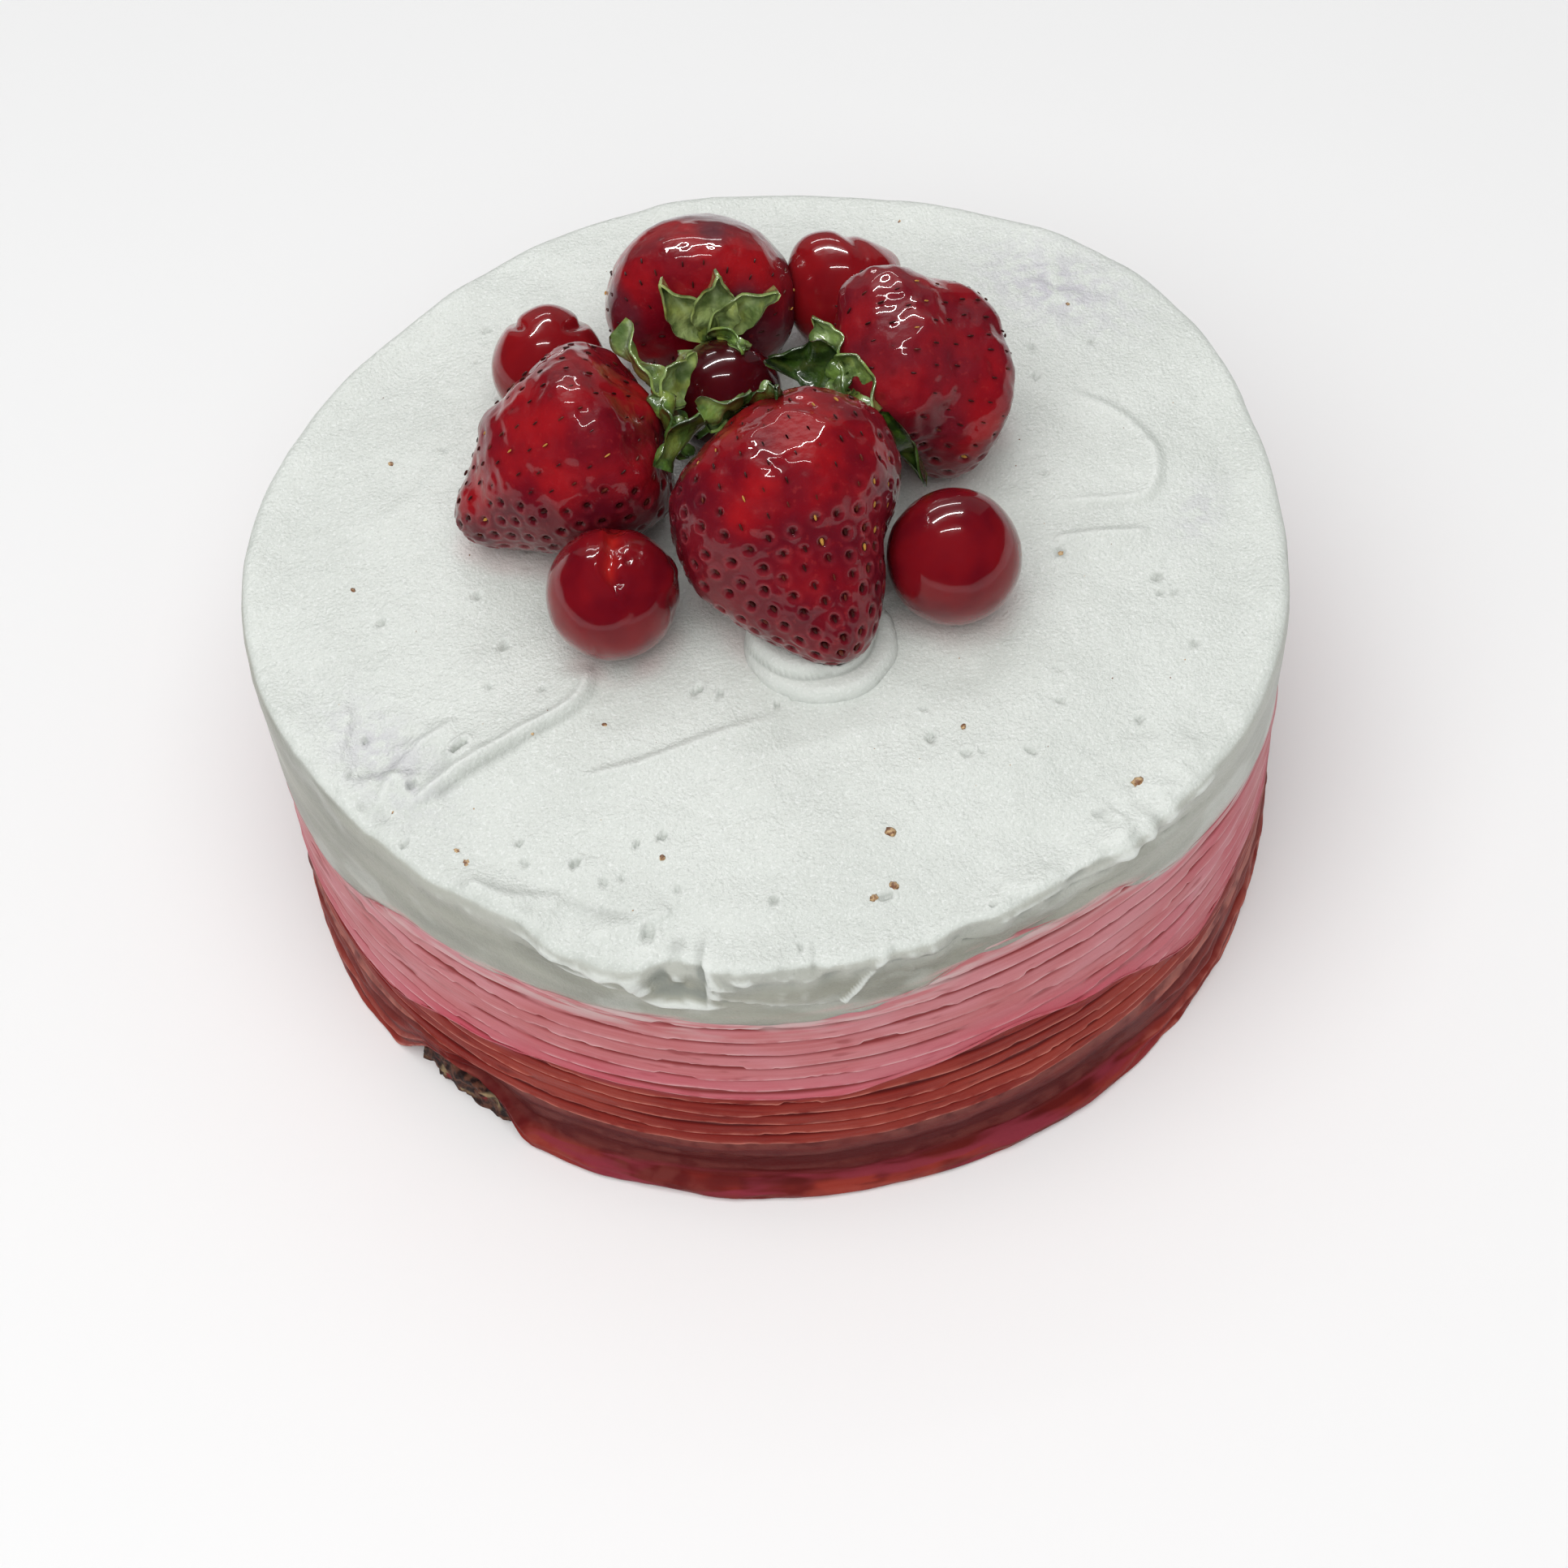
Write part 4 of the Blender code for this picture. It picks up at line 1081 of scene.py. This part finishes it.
def strawberry(name, finish):
    fruit = berry_fruit(name)
    if name == "back":
        fruit.radii, fruit.lumps = np.array(BACK_RADII), []
    if name == "right":
        fruit.lumps.append((direction(*RIGHT_BRIDGE[:2]), RIGHT_BRIDGE[2]))
    units = fruit.units(*ball_angles(*BERRY_DETAIL[name]))
    seeds = seed_units(fruit, name)
    glaze = glaze_share(fruit, units, name)
    seed_glaze = glaze_share(fruit, seeds, name)

    radius = fruit.reach(units)
    near = np.empty(len(units))
    bare = np.empty(len(units))
    for start in range(0, len(units), NEAREST_BATCH):
        part = slice(start, start + NEAREST_BATCH)
        closeness = units[part] @ seeds.T
        near[part] = np.max(closeness, axis=1)
        bare[part] = 1 - seed_glaze[np.argmax(closeness, axis=1)]
    away = radius * np.sqrt(np.maximum(2 - 2 * near, 0))
    points = fruit.centre + units * radius[:, None]
    detail = (0.15 if name == "back" else 0.35) * layered(points, 9, 42, 3)
    pit = ease(PIT_REACH * 1.35, PIT_REACH * 0.35, away)
    ring = hill(away, PIT_REACH * 1.5, 0.32)
    detail += bare * (0.16 * ring - PIT_DEPTH * pit) - (1 - bare) * 0.12 * pit
    detail += glaze * (0.25 + (0.2 if name == "back" else 0.48) * layered(points, 4.2, 43, 2))
    points = fruit.centre + units * (radius + detail)[:, None]
    points[:, 2] = np.maximum(points[:, 2], REST - 0.4)
    # The pit mark is painted shade in each pit; the ring mark is a painted highlight on its raised rim.
    marks = {
        "glaze": glaze,
        "pit": ease(PIT_REACH * 1.15, PIT_REACH * 0.3, away) * (0.25 + 0.75 * bare),
        "ring": 0.30 * ring * bare * ease(-0.5, 0.2, noise(points, 4, 44)),
        "dull_and_sheen": np.full(len(units), BERRY_DULL[name]) * ease(-0.6, 0.6, layered(points, 9, 45, 2)),
    }
    faces = fruit_faces(*BERRY_DETAIL[name])
    add_piece("berry_" + name, points, faces, finish, marks, ["strawberry_" + name])
    return name, fruit, seeds, seed_glaze


def seed_shape():
    """Points and faces of one seed: a small drop, long along x."""
    rings, sides = 5, 8
    turn, spin = ball_angles(rings, sides)
    width = 0.40 * np.sin(turn) * np.cos(spin) * (1 - 0.25 * np.cos(turn))
    points = np.stack((0.75 * np.cos(turn), width, 0.30 * np.sin(turn) * np.sin(spin)), axis=-1)
    return points, closed_faces(sides, rings - 1)


def add_seeds(fruits, finish):
    draw = random.Random(17)
    shape, shape_faces = seed_shape()
    points, faces, gold = [], [], []
    for name, fruit, seeds, glaze in fruits:
        normals = fruit.normals(seeds)
        centres = fruit.surface(seeds)
        for centre, normal, wet, unit in zip(centres, normals, glaze, seeds):
            depth = -0.50 * (1 - wet) + (0.40 if name == "front" else 0.22) * wet
            size = (0.95 - 0.16 * wet) * draw.uniform(0.75, 1.1)
            ahead = fruit.along - normal * (normal @ fruit.along)
            ahead /= lengths(ahead)
            across = np.cross(normal, ahead) * (1 - 0.5 * wet)
            middle = centre + normal * depth
            hidden = name == "back" and unit @ seen(0, 1) > 0.25
            if middle[2] < REST + 0.5 or hidden:
                continue
            start = len(points) * len(shape)
            points.append(middle + size * shape @ np.stack((ahead, across, normal)))
            faces.extend(tuple(start + v for v in face) for face in shape_faces)
            yellow = draw.random() < 0.07 or (name == "front" and unit @ seen(0.9, 0.2) > 0.93)
            gold.extend([float(yellow)] * len(shape))
    return add_piece("berry_seeds", np.concatenate(points), faces, finish, {"gold": gold})

CREASED_DETAIL, CHERRY_DETAIL = (84, 112), (60, 84)
# How far each cherry is painted dark; on the centre cherry, which lies among the leaves and berries, this is
# painted shade.
CHERRY_DARK = {"centre": 0.85, "front_right": 0.12}
SLIT = ((0.02, 1.05), (0.03, 0.66), (-0.01, 0.34), (0.06, 0.10), (0.12, -0.06))  # as seen, in radii
FOLD = ((-0.05, 1.0), (0.22, 0.66), (0.30, 0.32))


def cherry_relief(name, units, points):
    """Height of the lobes and creases of a cherry, and where the flesh shows bright."""
    a, b = units @ seen(1, 0), units @ seen(0, 1)
    front = ease(-0.2, 0.1, units @ seen(0, 0))
    detail = 0.16 * noise(points, 7, 51) + 0.05 * noise(points, 2.5, 52)
    bright = np.zeros(len(units))

    def spot(right, up, size):
        return hill(np.hypot(a - right, b - up), 0, size)

    if name == "front_left":
        distance, share, _ = line_distance(a, b, SLIT)
        distance = distance + 0.03 * noise(points, 1.6, 55)
        slit = hill(distance, 0, 0.17 - 0.135 * share) * front
        bright = slit * ease(1.0, 0.6, share) * (0.75 + 0.4 * noise(points, 1.8, 56))
        bank = hill(distance, 0.15, 0.05) * ease(0.05, -0.05, a) * ease(0.9, 0.5, share)
        bubbles = spot(0.26, 0.40, 0.15) + 0.7 * spot(0.2, -0.12, 0.2)
        detail -= 1.15 * slit * (1 - 0.35 * share)
        detail += (0.75 * spot(-0.30, 0.42, 0.30) + 0.35 * bank - 0.7 * spot(0.17, 0.10, 0.08)) * front
        detail += 0.55 * layered(points, 1.5, 53, 2) * bubbles * front
        detail += 0.55 * noise(points, 2.2, 54) * ease(0.72, 0.95, a)
    if name == "back_left":
        near = units @ seen(0.0, 0.93)
        groove = hill(near, 0.80, 0.055) * ease(0.35, 0.6, b) * ease(0.25, 0.45, np.abs(a))
        detail += 0.7 * np.exp((near - 1) / 0.10) - 0.9 * groove + 0.35 * spot(0, 0.72, 0.2) * front
        bright += 0.22
    if name == "back_right":
        distance, share, _ = line_distance(a, b, FOLD)
        detail -= 0.9 * hill(distance, 0, 0.13) * front * (1 - 0.6 * share)
        detail += 0.6 * np.exp((units @ seen(0.8, 0.6) - 1) / 0.03)
        bright += 0.18
    return detail, bright


def cherry(name, finish):
    fruit = cherry_fruit(name)
    amount = CREASED_DETAIL if name == "front_left" else CHERRY_DETAIL
    units = fruit.units(*ball_angles(*amount))
    detail, bright = cherry_relief(name, units, fruit.surface(units))
    points = fruit.surface(units, detail)
    points[:, 2] = np.maximum(points[:, 2], REST - 0.3)
    dark = np.full(len(points), CHERRY_DARK.get(name, 0.0))
    # Painted shade towards the outline of the centre cherry as seen from the main view.
    if name == "centre":
        dark = dark + 0.15 * ease(0.55, 0.85, np.hypot(units @ seen(1, 0) - 0.05, units @ seen(0, 1) + 0.1))
    marks = {"crease": bright, "dark": dark}
    faces = fruit_faces(*amount)
    return add_piece("glazed_cherry_" + name, points, faces, finish, marks, ["cherry_" + name])


# Leaves

LEAF_STATIONS, LEAF_ACROSS = 22, 9
LEAF_THICKNESS = 0.5
LEAF_CLEAR = 0.35
BUD_RADIUS = 2.7
BUD_RINGS, BUD_SIDES = 14, 20
LEAF_FULL = 1.12  # the waves take up some of each leaf's width
ROLL_STATIONS, ROLL_ACROSS, ROLL_TURNS = 40, 7, 1.15

# Pale and dark shares of each leaf; the dark share is a darker green, partly painted shade on the leaves that
# lie low between the fruit
LEAF_TONES = {
    "front": ((0.3, 0.25), (0.1, 0.45), (0.1, 0.6)),
    "left": ((0.6, 0.0), (0.7, 0.0), (0.1, 0.3), (0.1, 0.55)),
    "right": ((0.0, 0.75), (0.5, 0.0), (0.55, 0.0), (0.0, 0.6), (0.35, 0.1)),
    "back": ((1.1, 0.0), (1.2, 0.0), (0.9, 0.0), (0.3, 0.1)),
}

# Rolled tips of leaves: centre, radius, heading of the roll
ROLLS = {
    "front": (((-6.6, 3.0, 96.3), 2.1, 30), ((2.6, 10.0, 95.2), 1.5, 70)),
    "left": (((-12.8, 11.0, 87.0), 2.0, 100),),
    "right": (((20.6, 9.2, 90.8), 2.5, 20), ((15.7, 12.0, 93.0), 1.9, 140)),
    "back": (((-1.6, 29.4, 86.2), 1.9, 60),),
}


def push_clear(points, margin):
    """Moves points out of every fruit and above the cream."""
    for fruit in ALL_FRUIT:
        away = points - fruit.centre
        distance = lengths(away)
        units = away / distance
        least = (fruit.reach(units) + margin)[..., None]
        points = np.where(distance < least, fruit.centre + units * least, points)
    points[..., 2] = np.maximum(points[..., 2], HEIGHT + margin)
    return points


def leaf_rows(root, leaf, host, phase):
    """Middle surface of a leaf: it cups, waves and has a toothed edge."""
    root, bend, tip = (np.array(p, float) for p in (root, *leaf[:2]))
    control = 2 * bend - (root + tip) / 2
    width = leaf[2] * LEAF_FULL
    t = np.linspace(0, 1, LEAF_STATIONS)[:, None]
    middle = (1 - t) ** 2 * root + 2 * t * (1 - t) * control + t * t * tip
    along = 2 * (1 - t) * (control - root) + 2 * t * (tip - control)
    along /= lengths(along)
    out = middle - host.centre
    out -= along * np.sum(out * along, axis=1, keepdims=True)
    out /= lengths(out)
    side = np.cross(along, out)
    half = width / 2 * (0.35 + 0.65 * np.sin(np.pi * np.minimum(t * 1.15, 1.0) ** 0.8))
    half = half * np.sqrt(1 - 0.985 * t**4)
    teeth = 1 + 0.12 * np.abs(np.sin(4.5 * np.pi * t + phase)) * ease(0.1, 0.4, t)
    rows = []
    for across in np.linspace(-1, 1, LEAF_ACROSS):
        cup = 0.20 * width * across**2 + 0.30 * width * ease(0.62, 1.0, t) * abs(across)
        waves = 0.65 * across * np.sin(5 * t + phase) + 0.42 * np.sin(13 * t + 3 * across + phase)
        lift = cup + waves + 0.9 * np.sin(6 * t - phase) * t + 0.35 * across * np.sin(19 * t + 2 * phase)
        rows.append(middle + side * half * across * (teeth if abs(across) > 0.9 else 1) + out * lift)
    return push_clear(np.stack(rows, axis=1), LEAF_CLEAR)


def leaf_solid(rows):
    """Points and faces of a leaf, LEAF_THICKNESS thick, round its middle surface."""
    stations, across = rows.shape[:2]
    along = np.gradient(rows, axis=0)
    sideways = np.gradient(rows, axis=1)
    normal = np.cross(along, sideways)
    normal /= lengths(normal) + 1e-9
    upper = (rows + normal * LEAF_THICKNESS / 2).reshape(-1, 3)
    lower = (rows - normal * LEAF_THICKNESS / 2).reshape(-1, 3)
    count = stations * across
    index = np.arange(count).reshape(stations, across)
    quads = np.stack((index[:-1, :-1], index[:-1, 1:], index[1:, 1:], index[1:, :-1]), axis=-1).reshape(-1, 4)
    faces = quads.tolist() + (quads[:, ::-1] + count).tolist()
    rim = np.concatenate((index[:-1, 0], index[-1, :-1], index[:0:-1, -1], index[0, :0:-1]))
    after = np.roll(rim, -1)
    faces += np.stack((after, rim, rim + count, after + count), axis=-1).tolist()
    return np.vstack((upper, lower)), faces


def rolled_tip(centre, size, heading):
    """Points and faces of a leaf tip rolled into a spiral: a strip that winds inwards."""
    axis = direction(heading, 10)
    first = np.cross(axis, (0.0, 0.0, 1.0))
    first /= np.linalg.norm(first)
    second = np.cross(axis, first)
    t = np.linspace(0, 1, ROLL_STATIONS)[:, None]
    spin = ROLL_TURNS * math.tau * t + 0.4
    spoke = (np.cos(spin) * first + np.sin(spin) * second) * size * (1 - 0.62 * t)
    half = size * 0.85 * (1 - 0.55 * t)
    rows = []
    for share in np.linspace(-1, 1, ROLL_ACROSS):
        rows.append(np.array(centre) + axis * share * half + spoke * (1 - 0.25 * share * share))
    return leaf_solid(push_clear(np.stack(rows, axis=1), LEAF_CLEAR))


def calyx(name, finish):
    host = berry_fruit(name)
    root, blades = CALYXES[name]
    points, faces = [], []
    marks = {"pale": [], "dark": [], "vein": []}

    def gather(more, more_faces, *tones):
        start = sum(len(part) for part in points)
        points.append(more)
        faces.extend(tuple(start + v for v in face) for face in more_faces)
        for values, tone in zip(marks.values(), tones):
            values.append(np.broadcast_to(tone, len(more)))

    turn, spin = ball_angles(BUD_RINGS, BUD_SIDES)
    ball = np.stack((np.sin(turn) * np.cos(spin), np.sin(turn) * np.sin(spin), np.cos(turn)), axis=-1)
    size = BUD_RADIUS * (1 + 0.2 * layered(ball * 10, 6, 91)[:, None])
    bud = push_clear(np.array(root) + ball * size, LEAF_CLEAR)
    gather(bud, closed_faces(BUD_SIDES, BUD_RINGS - 1), 0.3, 0.0, 0.0)
    across = np.linspace(-1, 1, LEAF_ACROSS)
    t = np.linspace(0, 1, LEAF_STATIONS)[:, None]
    rib = hill(across, 0, 0.16) * ease(1.0, 0.6, t) * 0.7
    rib = np.tile((rib + 0.35 * hill(np.sin(12 * t - 2.6 * np.abs(across)), 0.9, 0.25)).ravel(), 2)
    for number, (leaf, (light, shade)) in enumerate(zip(blades, LEAF_TONES[name])):
        gather(*leaf_solid(leaf_rows(root, leaf, host, number * 2.1)), light, shade, rib * (1 - shade))
    for centre, size, heading in ROLLS[name]:
        more, more_faces = rolled_tip(centre, size, heading)
        stripes = 0.6 * hill(np.sin(more @ direction(heading, 20) * 3.2), 1.0, 0.4)
        gather(more, more_faces, 0.35, 0.0, stripes)
    marks = {key: np.concatenate(values) for key, values in marks.items()}
    points = np.concatenate(points)
    return add_piece("leaves_" + name, points, faces, finish, marks, ["calyx_" + name])


# Dollop

DOLLOP_CENTRE = (8.2, -23.6)
DOLLOP_TIERS = ((13.0, 2.2, (0.0, 0.0)), (11.0, 4.6, (-1.5, 1.6)))  # radius, height over the top, shift
DOLLOP_RINGS, DOLLOP_SIDES = 60, 220
DOLLOP_START, DOLLOP_REACH = 0.3, 14.4  # radius of the first and last rings of points
DOLLOP_SINK = 0.6  # its edge lies this far under the top
TIER_EDGE = 1.9  # width of the rounded edge of a tier


def dollop(finish):
    """Two low tiers of cream under the tip of the front strawberry."""
    spin, radius = np.meshgrid(
        np.linspace(0, math.tau, DOLLOP_SIDES, endpoint=False),
        np.linspace(DOLLOP_START, DOLLOP_REACH, DOLLOP_RINGS), indexing="ij",
    )
    x, y = DOLLOP_CENTRE[0] + radius * np.cos(spin), DOLLOP_CENTRE[1] + radius * np.sin(spin)
    z = np.full_like(x, -DOLLOP_SINK)
    shape = np.stack((x, y, z), -1)
    uneven = 0.5 * layered(shape, 9, 95, 2)
    base = -DOLLOP_SINK
    for reach, top, shift in DOLLOP_TIERS:
        away = np.hypot(x - DOLLOP_CENTRE[0] - shift[0], y - DOLLOP_CENTRE[1] - shift[1]) + uneven
        z = z + (top - base) * np.sqrt(1 - np.clip((away - reach) / TIER_EDGE + 1, 0, 1) ** 2)
        base = top
    z = z + 0.12 * noise(shape, 5, 96)
    points = settle(np.stack((x, y, HEIGHT + z), -1))
    poles = (*DOLLOP_CENTRE, HEIGHT + 1), (*DOLLOP_CENTRE, HEIGHT - 1)
    flat = np.concatenate((points.reshape(-1, 3), poles))
    hollow = hollows(points[..., 2])
    marks = {key: np.zeros(len(flat)) for key in ("side", "blush", "lilac_tint", "stain")}
    # Painted highlight over the whole dollop, stronger on its raised places, and painted shade in its
    # hollows; the painted wall shade is left off.
    marks["lit"] = np.append(0.3 + 0.5 * ease(0.1, 0.6, -hollow), (0.3, 0.3))
    marks["dim"] = np.append(0.5 * ease(0.08, 0.6, hollow), (0.0, 0.0))
    faces = closed_faces(DOLLOP_SIDES, DOLLOP_RINGS)
    return add_piece("cream_dollop", flat, faces, finish, marks)


def settle(points):
    """Keeps cream under the fruit that lies on it."""
    fruit = berry_fruit("front")
    away = points - fruit.centre
    distance = lengths(away)
    inside = distance[..., 0] < fruit.reach(away / distance) - 0.3
    points[..., 2] = np.where(inside, HEIGHT - 0.5, points[..., 2])
    return points


# Crumbs and specks

# The larger specks: place on the top, size
SPECKS = (
    ((16.3, -63.3), 1.4), ((12.6, -75.5), 1.1), ((16.0, -73.5), 1.2), ((30.2, -43.5), 0.8),
    ((-20.5, -64.5), 0.8), ((-52.0, -62.5), 1.3), ((-53.5, -60.0), 0.8), ((-66.0, 26.0), 0.8),
    ((-72.0, -3.0), 0.7), ((51.0, -7.5), 0.8), ((31.0, 78.0), 1.0), ((-29.0, -37.0), 0.6),
    ((-64.0, -51.5), 0.8), ((-72.0, -44.5), 0.7), ((57.0, -57.5), 1.6), ((69.0, 57.0), 0.7),
    ((60.0, 52.0), 0.6), ((66.0, 62.0), 0.5), ((-41.0, -38.0), 0.5),
)
SPECK_SCALE = 1.35
FINE_SPECKS, FINE_SPECK_REACH = 46, 82  # how many are scattered, and within what radius
SPECK_RINGS, SPECK_SIDES = 6, 12


def crumbs(finish):
    draw = random.Random(4)
    places = [(place, SPECK_SCALE * size) for place, size in SPECKS]
    for _ in range(FINE_SPECKS):
        places.append((scattered(draw, FINE_SPECK_REACH, 0.2), draw.uniform(0.15, 0.32)))
    heights = HEIGHT + top_relief(np.array([(*place, HEIGHT) for place, _ in places]))
    turn, spin = ball_angles(SPECK_RINGS, SPECK_SIDES)
    turn, spin = turn[:-2], spin[:-2]
    shape_faces = closed_faces(SPECK_SIDES, SPECK_RINGS - 1)
    points, faces = [], []
    for ((x, y), size), base in zip(places, heights):
        start = sum(len(part) for part in points)
        rough = [[draw.uniform(0.75, 1.15) for _ in range(SPECK_SIDES)] for _ in range(SPECK_RINGS - 1)]
        r = size * 0.5 * np.transpose(rough).ravel() * (1 + 0.12 * np.sin(2 * spin + x))
        level = r * np.sin(turn)
        up = base + 0.02 + 0.38 * r * np.cos(turn)
        points.append(np.stack((x + level * np.cos(spin), y + level * np.sin(spin), up), axis=-1))
        points.append(np.array([(x, y, base + 0.05 + size * 0.25), (x, y, base - size * 0.2)]))
        faces.extend(tuple(start + v for v in face) for face in shape_faces)
    return add_piece("crumbs", np.concatenate(points), faces, finish)


# Studio

FLOOR_HALF = 3.0
WORLD_STRENGTH = 0.38
AIM = (0.0, 0.0, 0.08)
STEEP = 0.95  # a light that looks down more steeply lies along x

# Lights that show only as highlights: name, place, width and depth in metres, watts
GLINTS = (
    ("strip", (-0.15, 0.85, 1.32), (1.25, 0.05), 20.0),
    ("low_strip", (-0.15, 1.27, 0.88), (1.0, 0.04), 3.0),
    ("rear_panel", (0.0, 1.5, 0.75), (2.8, 1.3), 2.4),
    ("mid_strip", (-0.10, 0.10, 1.5), (0.75, 0.045), 4.5),
)


def add_floor(finish):
    mesh = bpy.data.meshes.new("floor")
    corners = [(x * FLOOR_HALF, y * FLOOR_HALF, 0) for x, y in ((-1, -1), (1, -1), (1, 1), (-1, 1))]
    mesh.from_pydata(corners, [], [(0, 1, 2, 3)])
    mesh.materials.append(finish)
    floor = add_object("floor", mesh)


def put(thing, right, up, back, place):
    """Places a light or a camera by its axes; it looks away from its back."""
    axes = np.stack((right, up, back, place), axis=1)
    thing.matrix_world = Matrix([*axes.tolist(), (0, 0, 0, 1)])


def add_light(name, place, aim, size, power):
    data = bpy.data.lights.new(name, "AREA")
    data.shape = "RECTANGLE"
    data.size, data.size_y = size
    data.energy = power
    light = add_object(name, data)
    back = np.array(place, float) - aim
    back /= np.linalg.norm(back)
    right = np.cross((0.0, 1.0, 0.0) if back[2] > STEEP else (0.0, 0.0, 1.0), back)
    right /= np.linalg.norm(right)
    put(light, right, np.cross(back, right), back, place)
    return light


def add_camera():
    data = bpy.data.cameras.new("camera")
    data.sensor_width = 36.0
    data.lens = CAMERA_LENS
    data.clip_start, data.clip_end = 0.01, 20.0
    camera = add_object("camera", data)
    right, up, back = view_axes()
    put(camera, right, up, back, np.array(CAMERA_TARGET) + back * CAMERA_DISTANCE)
    bpy.context.scene.camera = camera


def add_studio():
    world = bpy.data.worlds.new("soft_room")
    world.use_nodes = True
    background = world.node_tree.nodes["Background"]
    background.inputs["Color"].default_value = (1.0, 1.0, 1.0, 1.0)
    background.inputs["Strength"].default_value = WORLD_STRENGTH
    world.cycles_visibility.glossy = False
    bpy.context.scene.world = world
    overhead = add_light("overhead", (-0.22, -0.60, 1.5), (0, 0, 0.05), (1.9, 1.9), 24.8)
    overhead.visible_glossy = False
    for name, place, size, power in GLINTS:
        add_light(name, place, AIM, size, power).visible_diffuse = False
    bpy.context.scene.view_settings.view_transform = "Standard"
    add_floor(floor_finish())
    add_camera()


def main():
    white = white_finish()
    cream_white(white)
    dollop(white)
    # In each combed cream the first colour is the painted highlight on the lips; the fourth is laid in random
    # streaks and, as painted shade, in the grooves.
    cream_pink(combed_finish(
        "pink_cream", (0.76, 0.46, 0.47), (0.585, 0.24, 0.265), (0.50, 0.15, 0.158), (0.25, 0.035, 0.035),
        (0.62, 0.48, 0.47), (0.52, 0.085, 0.12)))
    cream_rose(combed_finish(
        "rose_cream", (0.72, 0.25, 0.19), (0.29, 0.036, 0.024), (0.205, 0.015, 0.011), (0.09, 0.006, 0.006),
        (0.25, 0.03, 0.048), (0.09, 0.006, 0.008)))
    sponge(crumb_finish())
    flesh = berry_finish()
    add_seeds([strawberry(name, flesh) for name in BERRIES], seed_finish())
    skin = cherry_finish()
    for name in CHERRIES:
        cherry(name, skin)
    green = leaf_finish()
    for name in CALYXES:
        calyx(name, green)
    crumbs(speck_finish())
    add_studio()
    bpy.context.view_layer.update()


main()
